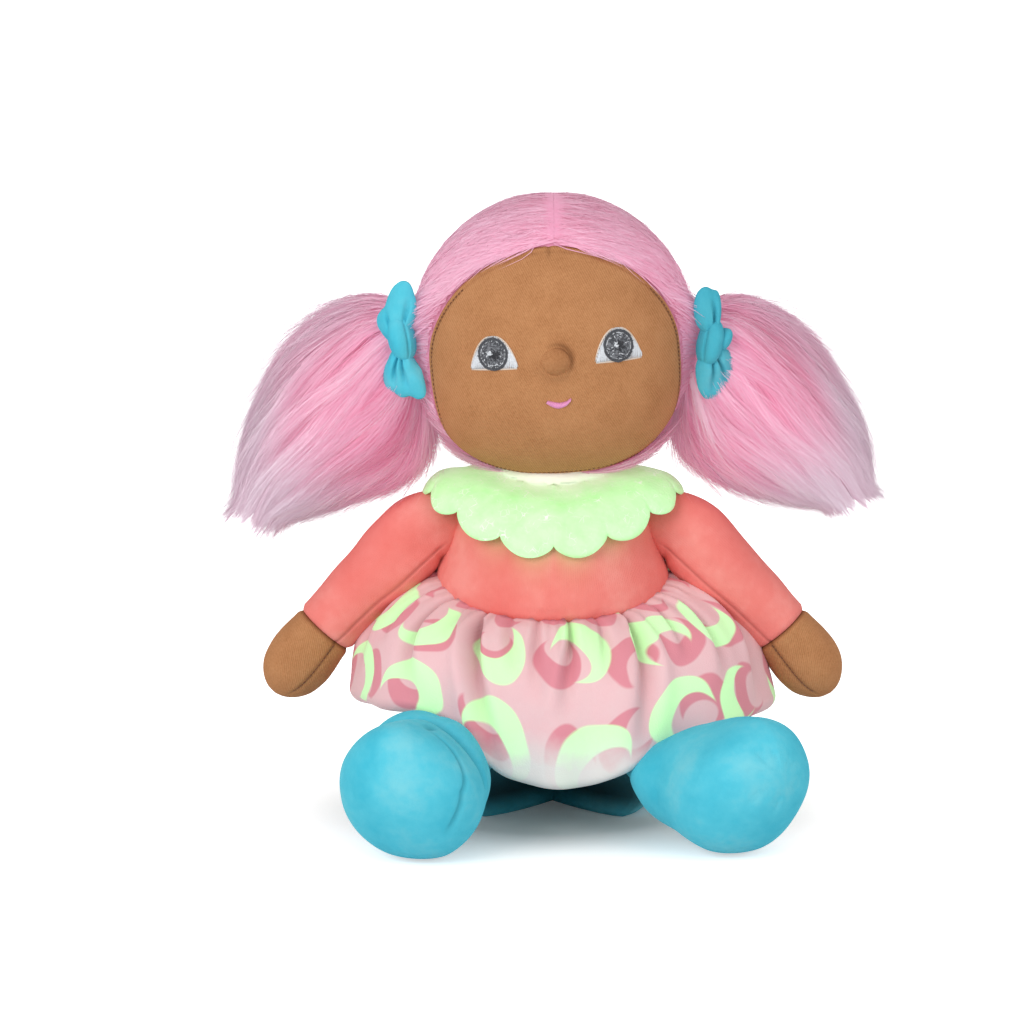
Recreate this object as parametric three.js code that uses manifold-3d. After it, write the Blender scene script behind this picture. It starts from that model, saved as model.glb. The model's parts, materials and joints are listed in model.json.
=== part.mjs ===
// A seated cloth doll, sewn from separate panels over fibre stuffing.
// Millimetres, +Z up. The doll faces -Y, so its own left side is at +X.
// The origin is the middle of the flat underside of the seat.

import * as THREE from "three";
import { mergeVertices } from "three/addons/utils/BufferGeometryUtils.js";
import Module from "manifold-3d";

const wasm = await Module();
wasm.setup();

// Cloth and clearances
const clothWall = 1.2;
const seamGap = 0.3;
const swingGap = 0.4;

// Torso: radii across, and heights from the seat up to the neck
const torsoDepthRatio = 0.88;
const seatFlatRadius = 36;
const seatEdgeRadius = 44;
const seatEdgeHeight = 7;
const seatRadius = 47;
const seatRadiusHeight = 26;
const waistRadius = 45.5;
const waistHeight = 90;
const waistSlant = 0.16;
const chestRadius = 42;
const chestRise = 18;
const shoulderRadius = 35.5;
const shoulderRise = 17;
const neckRadius = 17;
const neckRise = 11;
const neckLength = 11;
const pelletBagHeight = 16;

// Head: an egg form under the face cloth and the fur, longer and squarer at the chin
const headHalfWidth = 54;
const headHalfDepth = 48;
const headHalfHeight = 54;
const chinDrop = 2;
const chinSquareness = 0.4;
const chinShare = 0.63;
const neckInsert = 7;
const hairPileSide = 0.8;
const hairPile = 1.6;
const partingGap = 0.5;

// Face panel, measured from the nose, and what is sewn on it
const faceHalfWidth = 50.4;
const faceTop = 41.5;
const faceBottom = 49.5;
const faceSideDrop = 2;
const faceBrowSpread = 0.45;
const faceBrowRise = 0.93;
const faceTempleRise = 0.56;
const faceJawSpread = 0.78;
const faceJawDrop = 0.72;
const faceRoll = 4;
const faceDrop = 5.5;
const noseRadius = 6;
const noseStand = 1.5;
const eyeSpacing = 48.8;
const eyeHeight = 4.2;
const irisRadius = 5.3;
const eyeCorner = 3.6;
const eyeLid = 1.2;
const eyeFloorShare = 0.42;
const eyeCheekShare = 0.55;
const eyeBrowShare = 0.32;
const mouthWidth = 10;
const mouthDrop = 17.6;
const mouthSmile = 2.2;
const mouthBand = 2.2;
const threadHeight = 0.8;

// Arms: distances are from the shoulder seam along the arm
const shoulderSeamDrop = 8;
const shoulderSeamStand = 3;
const armRootRadius = 10.6;
const armRadius = 14.4;
const armRadiusAt = 28;
const wristRadius = 12.6;
const wristAt = 66;
const handRadius = 13.6;
const handWidestAt = 82;
const armLength = 99;
const armDroop = 33;
const armCurl = 20;

// Legs: distances are from the hip seam along the leg
const hipSpread = 32;
const hipHeight = 27;
const hipStand = 1.6;
const legRootRadius = 8;
const legRootFlatness = 0.58;
const kneeRadius = 13.4;
const kneeAt = 18;
const legRadius = 19.5;
const legRadiusAt = 36;
const ankleRadius = 23;
const ankleAt = 49;
const footRadius = 27.5;
const footWidestAt = 68;
const legLength = 97;
const toeRise = 9;
const rightFootFullness = 1.1;
const leftFootFullness = 1;
const rightLegTurn = 18;
const leftLegTurn = 34;
const floorCut = 0.5;
const fillingHoleRadius = 3.2;

// Skirt: gathered into the waist seam, with a hem that lies over the legs
const skirtWall = 1.4;
const skirtFolds = 13;
const skirtFoldDepth = 2.2;
const skirtPuff = 10;
const skirtSidePuff = 1.6;
const skirtLift = 5.5;
const hemHalfWidth = 79;
const hemFrontReach = 69;
const hemBackReach = 66;
const hemFrontHeight = 24;
const hemFrontSpan = 1.05;
const hemSideHeight = 46;
const hemBackHeight = 16;
const hemOverLeg = 2.1;
const hemLegReach = 5;
const hemBesideLegSpan = 0.68;
const hemBesideLegRise = 0.72;

// Collar: a cape with a scalloped edge
const collarThickness = 2.6;
const collarHalfWidth = 51;
const collarDrop = 26;
const collarShoulderLift = 5;
const collarEdgeDrop = 1.8;
const collarLift = 1.2;
const collarChinGap = 2.4;
const collarScallops = 14;
const scallopDepth = 0.17;
const scallopRoundness = 0.7;

// Pigtails: an outer and an inner edge seen from the front, out from the root and up or down from it
const pigtailDrop = 6;
const pigtailBack = 4;
const pigtailRootRise = 13;
const pigtailRootDrop = 11;
const pigtailCrownOut = 25;
const pigtailCrownRise = 20;
const pigtailShoulderOut = 51;
const pigtailShoulderRise = 2;
const pigtailFlankOut = 65.5;
const pigtailFlankDrop = 30;
const pigtailTipOut = 73;
const pigtailTipDrop = 73;
const pigtailTuck = 6;
const pigtailTuckDrop = 36;
const pigtailHeelOut = 4;
const pigtailHeelDrop = 53;
const pigtailBellyOut = 34;
const pigtailBellyDrop = 64;
const pigtailRootDepth = 10;
const pigtailHalfDepth = 24;
const pigtailDeepestAt = 0.45;

// Bows: a knot with a loop above and a loop below, in front of each pigtail's root
const bowOffset = 6.5;
const bowFront = 21;
const bowRise = 4.7;
const bowLoopLength = 24;
const bowLoopWidest = 15.4;
const bowLoopWidth = 22;
const bowLoopNeck = 9;
const bowLoopDepth = 14;
const bowKnotWidth = 14;
const bowKnotTall = 14;

// Counts of sides and steps
const limbSides = 12;
const torsoSides = 16;
const torsoSteps = 11;
const headSides = 20;
const headRings = 12;
const seamSides = 14;
const rootSteps = 3;
const limbSteps = 7;
const tipSteps = 4;
const outlineSteps = 5;
const pigtailSteps = 9;
const skirtSteps = { around: 65, rows: 4 };
const collarSteps = { around: 56, rows: 3 };

const { degToRad, lerp, mapLinear, smoothstep, euclideanModulo } = THREE.MathUtils;
const upward = new THREE.Vector3(0, 0, 1);
const limbAxis = new THREE.Vector3(0, 1, 0);

const sides = [
  { name: "left", sign: 1, legTurn: leftLegTurn, footFullness: leftFootFullness },
  { name: "right", sign: -1, legTurn: rightLegTurn, footFullness: rightFootFullness },
];

const cloth = (color, roughness = 0.95) =>
  new THREE.MeshStandardMaterial({ color, roughness, metalness: 0 });
const coralPlush = cloth("#f48a80");
const bluePlush = cloth("#5ac8de");
const brownTwill = cloth("#b8825a");
const pinkFur = cloth("#e6a3c0");
const paleGreenPlush = cloth("#d2fcc6", 0.6);
const printedPlush = cloth("#e9c4c6");
const whiteThread = cloth("#e6e8ec", 0.6);
const greyThread = cloth("#55585e", 0.6);
const pinkThread = cloth("#e58fb8", 0.6);
const fibreFill = cloth("#f4f2ee", 1);
const pelletCloth = cloth("#e4ded2", 0.9);

// Solids

// A closed geometry as a solid that can be cut and joined.
function toSolid(geometry) {
  const bare = geometry.clone();
  bare.deleteAttribute("normal");
  bare.deleteAttribute("uv");
  const merged = mergeVertices(bare, 1e-4);
  const corners = merged.index.array;
  const kept = [];
  for (let i = 0; i < corners.length; i += 3) {
    const [a, b, c] = corners.slice(i, i + 3);
    if (a !== b && b !== c && a !== c) kept.push(a, b, c);
  }
  const mesh = new wasm.Mesh({
    numProp: 3,
    vertProperties: merged.attributes.position.array,
    triVerts: new Uint32Array(kept),
  });
  return new wasm.Manifold(mesh);
}

function toGeometry(solid) {
  const mesh = solid.getMesh();
  const geometry = new THREE.BufferGeometry();
  geometry.setAttribute("position", new THREE.BufferAttribute(mesh.vertProperties, 3));
  geometry.setIndex(new THREE.BufferAttribute(mesh.triVerts, 1));
  geometry.computeVertexNormals();
  return geometry;
}

function addPiece(group, name, shape, material) {
  const geometry = shape.isBufferGeometry ? shape : toGeometry(shape);
  const piece = new THREE.Mesh(geometry, material);
  piece.name = name;
  group.add(piece);
}

// All space on one side of a plane, as a box much larger than the doll.
function halfSpace(normal, point) {
  const reach = 10 * headHalfHeight;
  const box = new THREE.BoxGeometry(reach, reach, reach);
  box.translate(0, 0, reach / 2);
  box.applyQuaternion(new THREE.Quaternion().setFromUnitVectors(upward, normal.clone().normalize()));
  box.translate(point.x, point.y, point.z);
  return toSolid(box);
}

// The two sides of a seam plane, each standing half a seam gap off it.
function seamSidesOf(normal, point) {
  const half = normal.clone().normalize().multiplyScalar(seamGap / 2);
  const beyond = halfSpace(normal, point.clone().add(half));
  const before = halfSpace(normal.clone().negate(), point.clone().sub(half));
  return { beyond, before };
}

const above = (height) => halfSpace(upward, new THREE.Vector3(0, 0, height));
const below = (height) => halfSpace(upward.clone().negate(), new THREE.Vector3(0, 0, height));

// Profiles and forms

// A smooth line through a few points given as [radius, height].
function smoothLine(points, steps) {
  const places = points.map(([radius, height]) => new THREE.Vector3(radius, height, 0));
  const curve = new THREE.CatmullRomCurve3(places, false, "centripetal");
  return curve.getPoints(steps).map((place) => new THREE.Vector2(place.x, place.y));
}

// An elliptical quarter that closes a profile on the axis, without its first point.
function roundEnd(radius, height, reach, steps) {
  const points = [];
  for (let i = 1; i <= steps; i++) {
    const turn = (Math.PI / 2) * (i / steps);
    const out = i === steps ? 0 : radius * Math.cos(turn);
    points.push(new THREE.Vector2(out, height + reach * Math.sin(turn)));
  }
  return points;
}

// A limb's profile: a round root at the seam, a smooth run, and a round tip.
function limbProfile(rootRadius, run, length) {
  const [tipRadius, tipStart] = run.at(-1);
  return [
    ...roundEnd(rootRadius, 0, -rootRadius, rootSteps).reverse(),
    ...smoothLine([[rootRadius, 0], ...run], limbSteps),
    ...roundEnd(tipRadius, tipStart, length - tipStart, tipSteps),
  ];
}

// A profile moved inwards along its own normals, with its ends kept on the axis.
function insetProfile(profile, depth) {
  const last = profile.length - 1;
  return profile.map((point, i) => {
    const before = profile[Math.max(i - 1, 0)];
    const after = profile[Math.min(i + 1, last)];
    const along = after.clone().sub(before).normalize();
    const out = i === 0 || i === last ? 0 : point.x - along.y * depth;
    return new THREE.Vector2(out, point.y + along.x * depth);
  });
}

// The radius of a rising profile at a height.
function radiusAt(profile, height) {
  const next = profile.findIndex((point, i) => i > 1 && point.y >= height);
  const [low, high] = [profile[next - 1], profile[next]];
  return mapLinear(height, low.y, high.y, low.x, high.x);
}

// A profile turned about the local Y axis, with its depth along local Z scaled.
function latheForm(profile, sideCount, depthRatio = 1) {
  const form = new THREE.LatheGeometry(profile, sideCount);
  form.scale(1, 1, depthRatio);
  return form;
}

// Bends a form that lies along +Y towards -X, by a whole turn in degrees over its length.
function curlForm(form, length, turn) {
  const bendRadius = length / degToRad(turn);
  const position = form.attributes.position;
  for (let i = 0; i < position.count; i++) {
    const along = position.getY(i);
    if (along <= 0) continue;
    const out = bendRadius + position.getX(i);
    const angle = along / bendRadius;
    position.setXY(i, out * Math.cos(angle) - bendRadius, out * Math.sin(angle));
  }
  return form;
}

// A closed form through rings of points that ends in a point.
function loftForm(rings, tip) {
  const around = rings[0].length;
  const last = rings.length - 1;
  const middle = new THREE.Vector3();
  for (const place of rings[0]) middle.addScaledVector(place, 1 / around);
  const places = [...rings.flat(), middle, tip];
  const at = (j, i) => j * around + (i % around);
  const faces = [];
  for (let i = 0; i < around; i++) {
    for (let j = 0; j < last; j++) {
      faces.push(at(j, i), at(j, i + 1), at(j + 1, i + 1));
      faces.push(at(j, i), at(j + 1, i + 1), at(j + 1, i));
    }
    faces.push(at(0, i + 1), at(0, i), places.length - 2);
    faces.push(at(last, i), at(last, i + 1), places.length - 1);
  }
  const geometry = new THREE.BufferGeometry().setFromPoints(places);
  geometry.setIndex(faces);
  return geometry;
}

// A ball whose flat facets all lie outside the radius, so that it makes room for a ball of that radius.
function roomForBall(radius, centre) {
  const outer = radius / Math.cos(Math.PI / seamSides) ** 2;
  const sphere = new THREE.SphereGeometry(outer, seamSides, seamSides);
  sphere.translate(centre.x, centre.y, centre.z);
  return toSolid(sphere);
}

// A thick sheet that goes once round. surface(turn, along) gives its middle, and along runs from 0 to 1.
function thickRing(surface, thickness, { around, rows }) {
  const nudge = 1e-3;
  const places = [];
  for (const side of [0.5, -0.5]) {
    for (let j = 0; j <= rows; j++) {
      for (let i = 0; i < around; i++) {
        const turn = (2 * Math.PI * i) / around;
        const along = j / rows;
        const round = surface(turn + nudge, along).sub(surface(turn - nudge, along));
        const [early, late] = [Math.max(along - nudge, 0), Math.min(along + nudge, 1)];
        const down = surface(turn, late).sub(surface(turn, early));
        const normal = down.cross(round).normalize();
        const place = surface(turn, along).addScaledVector(normal, side * thickness);
        places.push(place.x, place.y, place.z);
      }
    }
  }
  const at = (layer, j, i) => (layer * (rows + 1) + j) * around + (i % around);
  const faces = [];
  const quad = (a, b, c, d) => faces.push(a, b, c, a, c, d);
  for (let i = 0; i < around; i++) {
    for (let j = 0; j < rows; j++) {
      quad(at(0, j, i), at(0, j + 1, i), at(0, j + 1, i + 1), at(0, j, i + 1));
      quad(at(1, j, i), at(1, j, i + 1), at(1, j + 1, i + 1), at(1, j + 1, i));
    }
    quad(at(0, 0, i), at(0, 0, i + 1), at(1, 0, i + 1), at(1, 0, i));
    quad(at(0, rows, i), at(1, rows, i), at(1, rows, i + 1), at(0, rows, i + 1));
  }
  const geometry = new THREE.BufferGeometry();
  geometry.setAttribute("position", new THREE.Float32BufferAttribute(places, 3));
  geometry.setIndex(faces);
  return geometry;
}

// Torso

const chestHeight = waistHeight + chestRise;
const shoulderHeight = chestHeight + shoulderRise;
const neckBaseHeight = shoulderHeight + neckRise;
const neckTopHeight = neckBaseHeight + neckLength;

const torsoProfile = [
  new THREE.Vector2(0, 0),
  ...smoothLine(
    [
      [seatFlatRadius, 0],
      [seatEdgeRadius, seatEdgeHeight],
      [seatRadius, seatRadiusHeight],
      [waistRadius, waistHeight],
      [chestRadius, chestHeight],
      [shoulderRadius, shoulderHeight],
      [neckRadius, neckBaseHeight],
    ],
    torsoSteps,
  ),
  new THREE.Vector2(neckRadius, neckTopHeight),
  new THREE.Vector2(0, neckTopHeight),
];

function torsoForm(inset) {
  const form = latheForm(insetProfile(torsoProfile, inset), torsoSides, torsoDepthRatio);
  form.rotateX(Math.PI / 2);
  return toSolid(form);
}

const shoulderSeamHeight = shoulderHeight - shoulderSeamDrop;
const shoulderReach = radiusAt(torsoProfile, shoulderSeamHeight) + shoulderSeamStand;
const shoulderSeam = (sign) => new THREE.Vector3(sign * shoulderReach, 0, shoulderSeamHeight);

const hipRadius = radiusAt(torsoProfile, hipHeight);
const hipForward = torsoDepthRatio * Math.sqrt(hipRadius ** 2 - hipSpread ** 2) + hipStand;
const hipSeam = (sign) => new THREE.Vector3(sign * hipSpread, -hipForward, hipHeight);

// The room that an arm needs as it swings about the shoulder seam: a ball that opens into a cone.
function armRoom(sign) {
  const radius = (armRootRadius + swingGap) / Math.cos(Math.PI / seamSides);
  const under = degToRad(armDroop);
  const spread = under + Math.atan((armRadius - armRootRadius) / armRadiusAt);
  const profile = [];
  for (let i = 0; i <= rootSteps; i++) {
    const angle = lerp(-Math.PI / 2, -under, i / rootSteps);
    profile.push(new THREE.Vector2(i ? radius * Math.cos(angle) : 0, radius * Math.sin(angle)));
  }
  const mouth = profile.at(-1).clone();
  mouth.x += 2 * armRadius * Math.sin(spread);
  mouth.y += 2 * armRadius * Math.cos(spread);
  profile.push(mouth, new THREE.Vector2(0, mouth.y));
  const room = latheForm(profile, seamSides);
  room.rotateZ((-sign * Math.PI) / 2);
  const seam = shoulderSeam(sign);
  room.translate(seam.x, seam.y, seam.z);
  return toSolid(room);
}

function makeTorso() {
  const group = new THREE.Group();
  const cover = torsoForm(0).subtract(torsoForm(clothWall));
  const filling = torsoForm(clothWall + seamGap);
  const waist = new THREE.Vector3(0, 0, waistHeight);
  const { beyond, before } = seamSidesOf(new THREE.Vector3(0, -waistSlant, 1), waist);
  const neckOpening = neckTopHeight - clothWall - seamGap;

  let bodice = cover.intersect(beyond).subtract(above(neckOpening));
  let seat = cover.intersect(before);
  let stuffing = filling.intersect(above(pelletBagHeight + seamGap)).intersect(below(neckOpening));
  let pelletBag = filling.intersect(below(pelletBagHeight));
  for (const { sign } of sides) {
    const armhole = armRoom(sign);
    const leghole = roomForBall(legRootRadius + swingGap, hipSeam(sign));
    bodice = bodice.subtract(armhole);
    seat = seat.subtract(leghole);
    stuffing = stuffing.subtract(armhole).subtract(leghole);
    pelletBag = pelletBag.subtract(leghole);
  }
  addPiece(group, "bodice_cover", bodice, coralPlush);
  addPiece(group, "seat_cover", seat, bluePlush);
  addPiece(group, "torso_stuffing", stuffing, fibreFill);
  addPiece(group, "pellet_bag", pelletBag, pelletCloth);
  return group;
}

// Legs

const legProfile = limbProfile(
  legRootRadius,
  [
    [kneeRadius, kneeAt],
    [legRadius, legRadiusAt],
    [ankleRadius, ankleAt],
    [footRadius, footWidestAt],
  ],
  legLength,
);

// The leg narrows to a flat seam at the hip, which is what lets it swing.
// It is slack on top as far as the foot.
const topFlatness = (along) => lerp(legRootFlatness, 1, smoothstep(along, 0, footWidestAt));
const underFlatness = (along) => lerp(legRootFlatness, 1, smoothstep(along, 0, legRadiusAt));

function legForm(inset, { footFullness }) {
  const form = latheForm(insetProfile(legProfile, inset), limbSides);
  const position = form.attributes.position;
  for (let i = 0; i < position.count; i++) {
    const along = position.getY(i);
    const height = position.getZ(i);
    const instep = lerp(1, footFullness, smoothstep(along, legRadiusAt, footWidestAt));
    const flatness = height > 0 ? topFlatness(along) * instep : underFlatness(along);
    const toeLift = toeRise * smoothstep(along, footWidestAt, legLength);
    position.setZ(i, height * flatness + toeLift);
  }
  return toSolid(form);
}

// Where a leg points: turned out from straight ahead, and level enough for the foot to meet the floor.
function legDirection({ sign, legTurn }) {
  const dip = Math.asin((hipHeight - footRadius + floorCut) / footWidestAt);
  const turn = degToRad(legTurn);
  const level = Math.cos(dip);
  return new THREE.Vector3(sign * Math.sin(turn) * level, -Math.cos(turn) * level, -Math.sin(dip));
}

function makeLeg(side) {
  const group = new THREE.Group();
  group.position.copy(hipSeam(side.sign));
  group.quaternion.setFromUnitVectors(limbAxis, legDirection(side));
  const up = upward.clone().applyQuaternion(group.quaternion.clone().invert());
  const overFloor = (height) => halfSpace(up, up.clone().multiplyScalar(height - hipHeight));

  const outer = legForm(0, side).intersect(overFloor(0));
  const inner = legForm(clothWall, side).intersect(overFloor(clothWall));
  const filling = legForm(clothWall + seamGap, side).intersect(overFloor(clothWall + seamGap));
  const hole = new THREE.CylinderGeometry(fillingHoleRadius, fillingHoleRadius, legRootRadius, seamSides);
  hole.translate(0, -legRootRadius, 0);
  addPiece(group, `leg_cover_${side.name}`, outer.subtract(inner).subtract(toSolid(hole)), bluePlush);
  addPiece(group, `leg_stuffing_${side.name}`, filling, fibreFill);
  return group;
}

// Arms

// A limb that hangs at a side: its own Y axis reaches out and down, and its -X side faces down.
function hangingLimb(place, sign, droop) {
  const group = new THREE.Group();
  group.position.copy(place);
  group.rotation.z = sign > 0 ? 0 : Math.PI;
  const limb = new THREE.Group();
  const [fall, out] = [Math.sin(degToRad(droop)), Math.cos(degToRad(droop))];
  const turn = new THREE.Matrix4().makeBasis(
    new THREE.Vector3(fall, 0, out),
    new THREE.Vector3(out, 0, -fall),
    new THREE.Vector3(0, 1, 0),
  );
  limb.quaternion.setFromRotationMatrix(turn);
  group.add(limb);
  return { group, limb };
}

const armProfile = limbProfile(
  armRootRadius,
  [
    [armRadius, armRadiusAt],
    [wristRadius, wristAt],
    [handRadius, handWidestAt],
  ],
  armLength,
);

function armForm(inset) {
  return toSolid(curlForm(latheForm(insetProfile(armProfile, inset), limbSides), armLength, armCurl));
}

function makeArm({ name, sign }) {
  const { group, limb } = hangingLimb(shoulderSeam(sign), sign, armDroop);
  const bendRadius = armLength / degToRad(armCurl);
  const angle = wristAt / bendRadius;
  const wrist = new THREE.Vector3(bendRadius * (Math.cos(angle) - 1), bendRadius * Math.sin(angle), 0);
  const alongWrist = new THREE.Vector3(-Math.sin(angle), Math.cos(angle), 0);
  const { beyond, before } = seamSidesOf(alongWrist, wrist);
  const cover = armForm(0).subtract(armForm(clothWall));
  addPiece(limb, `sleeve_${name}`, cover.intersect(before), coralPlush);
  addPiece(limb, `hand_${name}`, cover.intersect(beyond), brownTwill);
  addPiece(limb, `arm_stuffing_${name}`, armForm(clothWall + seamGap), fibreFill);
  return group;
}

// Skirt

// Where a leg's middle line passes under the hem, as an angle from straight ahead.
function legAngle(side) {
  const middle = hipSeam(side.sign).addScaledVector(legDirection(side), legRadiusAt);
  return Math.atan2(middle.x, -middle.y);
}

// Points on the hem: angle from straight ahead, reach from the middle, height.
function hemPoints() {
  const legSpan = Math.asin(legRadius / hemFrontReach);
  const legTop = legRadius * topFlatness(legRadiusAt);
  const overLeg = hipHeight + legTop + hemOverLeg;
  const besideLeg = hipHeight + legTop * hemBesideLegRise + hemOverLeg;
  const cornerReach = (hemHalfWidth + hemBackReach) / 2;
  const cornerHeight = (hemSideHeight + hemBackHeight) / 2;
  const points = [];
  for (const side of sides) {
    const { sign } = side;
    const angle = legAngle(side);
    points.push([angle - sign * legSpan * hemFrontSpan, hemFrontReach, hemFrontHeight]);
    points.push([angle - sign * legSpan * hemBesideLegSpan, hemFrontReach + hemLegReach / 2, besideLeg]);
    points.push([angle, hemFrontReach + hemLegReach, overLeg]);
    points.push([sign * degToRad(90), hemHalfWidth, hemSideHeight]);
    points.push([sign * degToRad(135), cornerReach, cornerHeight]);
    points.push([sign * degToRad(180), hemBackReach, hemBackHeight]);
  }
  return points.sort((a, b) => a[0] - b[0]);
}

const hemLine = hemPoints();

function hemAt(angle) {
  const turn = euclideanModulo(angle + Math.PI, 2 * Math.PI) - Math.PI;
  const next = Math.max(hemLine.findIndex((point) => point[0] >= turn), 1);
  const [before, after] = [hemLine[next - 1], hemLine[next]];
  const blend = smoothstep(turn, before[0], after[0]);
  return { reach: lerp(before[1], after[1], blend), height: lerp(before[2], after[2], blend) };
}

// The middle of the skirt's cloth: turn goes round from straight ahead, and along runs from waist to hem.
function skirtPoint(turn, along) {
  const ahead = new THREE.Vector3(Math.sin(turn), -Math.cos(turn), 0);
  const waistReach = radiusAt(torsoProfile, waistHeight) + seamGap + skirtWall;
  const waist = new THREE.Vector3(ahead.x * waistReach, ahead.y * waistReach * torsoDepthRatio, 0);
  waist.z = waistHeight + waistSlant * waist.y - skirtWall - seamGap;
  const { reach, height } = hemAt(turn);
  const hem = ahead.clone().multiplyScalar(reach).setZ(height);
  const swell = Math.sin(Math.PI * along);
  const fold = skirtFoldDepth * Math.sin((Math.PI / 2) * along) * Math.cos(skirtFolds * turn);
  const puff = skirtPuff + skirtSidePuff * ahead.x ** 2;
  const point = waist.lerp(hem, along).addScaledVector(ahead, puff * swell + fold);
  point.z += skirtLift * swell;
  return point;
}

// Collar, which follows the chest and back and passes over the shoulder seams

const headBottom = neckTopHeight - neckInsert;
const collarNeckHeight = headBottom - hairPile - collarChinGap;
const underCollar = insetProfile(torsoProfile, -(3 * seamGap + collarThickness / 2));
const collarNeckReach = radiusAt(underCollar, collarNeckHeight);
const overShoulder = shoulderSeamHeight + armRootRadius + swingGap + collarThickness / 2;

const chestCollarLine = new THREE.SplineCurve(
  [0, 0.2, 0.42, 0.7, 1].map((share) => {
    const height = collarNeckHeight - collarDrop * share;
    return new THREE.Vector2(radiusAt(underCollar, height) * torsoDepthRatio + collarLift * share, height);
  }),
);
const shoulderCollarLine = new THREE.SplineCurve([
  new THREE.Vector2(collarNeckReach, collarNeckHeight),
  new THREE.Vector2((collarNeckReach + shoulderReach) / 2, collarNeckHeight),
  new THREE.Vector2(shoulderReach, overShoulder + collarShoulderLift),
  new THREE.Vector2(collarHalfWidth, overShoulder - collarEdgeDrop),
]);

function collarPoint(turn, along) {
  const lobe = Math.abs(Math.sin((collarScallops * turn) / 2)) ** scallopRoundness;
  const share = along * (1 - scallopDepth * (1 - lobe));
  const shoulder = shoulderCollarLine.getPoint(share);
  const chest = chestCollarLine.getPoint(share);
  const [ahead, across] = [-Math.cos(turn), Math.sin(turn)];
  const height = shoulder.y * across ** 2 + chest.y * ahead ** 2;
  return new THREE.Vector3(across * shoulder.x, ahead * chest.x, height);
}

// Head

const headCentre = new THREE.Vector3(0, 0, headBottom + headHalfHeight);

function eggForm(growWidth, grow) {
  const egg = new THREE.SphereGeometry(1, headSides, headRings);
  egg.rotateX(Math.PI / 2);
  const position = egg.attributes.position;
  for (let i = 0; i < position.count; i++) {
    const place = new THREE.Vector3().fromBufferAttribute(position, i);
    const low = smoothstep(-place.z, 0, chinShare);
    const power = 2 + chinSquareness * low;
    const sum = Math.abs(place.x) ** power + Math.abs(place.y) ** power + Math.abs(place.z) ** power;
    place.divideScalar(sum ** (1 / power));
    const tall = headHalfHeight + chinDrop * low + grow;
    place.multiply(new THREE.Vector3(headHalfWidth + growWidth, headHalfDepth + grow, tall));
    position.setXYZ(i, ...place);
  }
  return toSolid(egg);
}
const headForm = (grow) => eggForm(grow, grow);

// A flat outline in the face's own plane, measured from the nose and carried through the front of the head.
function throughFace(outline) {
  const settings = { depth: 2 * headHalfDepth, bevelEnabled: false, curveSegments: outlineSteps };
  const block = new THREE.ExtrudeGeometry(outline, settings);
  block.translate(0, -faceDrop, 0);
  block.rotateX(Math.PI / 2);
  block.rotateY(-degToRad(faceRoll));
  return toSolid(block);
}

function faceOutline(grow) {
  const wide = faceHalfWidth + grow;
  const top = faceTop + grow;
  const bottom = -faceBottom - grow;
  const cheek = -faceSideDrop;
  const brow = [wide * faceBrowSpread, top * faceBrowRise];
  const temple = top * faceTempleRise;
  const jaw = bottom * faceJawDrop;
  const chin = wide * faceJawSpread;
  const outline = new THREE.Shape();
  outline.moveTo(0, top);
  outline.bezierCurveTo(-brow[0], brow[1], -wide, temple, -wide, cheek);
  outline.bezierCurveTo(-wide, jaw, -chin, bottom, 0, bottom);
  outline.bezierCurveTo(chin, bottom, wide, jaw, wide, cheek);
  outline.bezierCurveTo(wide, temple, brow[0], brow[1], 0, top);
  return outline;
}

function eyeOutline(centre) {
  const wide = 2 * (irisRadius + eyeCorner);
  const floor = eyeHeight - irisRadius - eyeLid;
  const top = eyeHeight + irisRadius + eyeLid;
  const [corner, cheek, brow] = [eyeFloorShare, eyeCheekShare, eyeBrowShare].map((share) => wide * share);
  const outline = new THREE.Shape();
  outline.moveTo(centre - corner, floor);
  outline.lineTo(centre + corner, floor);
  outline.bezierCurveTo(centre + cheek, eyeHeight, centre + brow, top, centre, top);
  outline.bezierCurveTo(centre - brow, top, centre - cheek, eyeHeight, centre - corner, floor);
  return outline;
}

function irisOutline(centre, radius) {
  const outline = new THREE.Shape();
  outline.absarc(centre, eyeHeight, radius, 0, 2 * Math.PI);
  return outline;
}

function mouthOutline() {
  const half = mouthWidth / 2;
  const corner = mouthSmile - mouthDrop;
  const middle = -mouthSmile - mouthDrop;
  const outline = new THREE.Shape();
  outline.moveTo(-half, corner);
  outline.quadraticCurveTo(0, middle, half, corner);
  outline.lineTo(half, corner + mouthBand);
  outline.quadraticCurveTo(0, middle + mouthBand, -half, corner + mouthBand);
  return outline;
}

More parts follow.
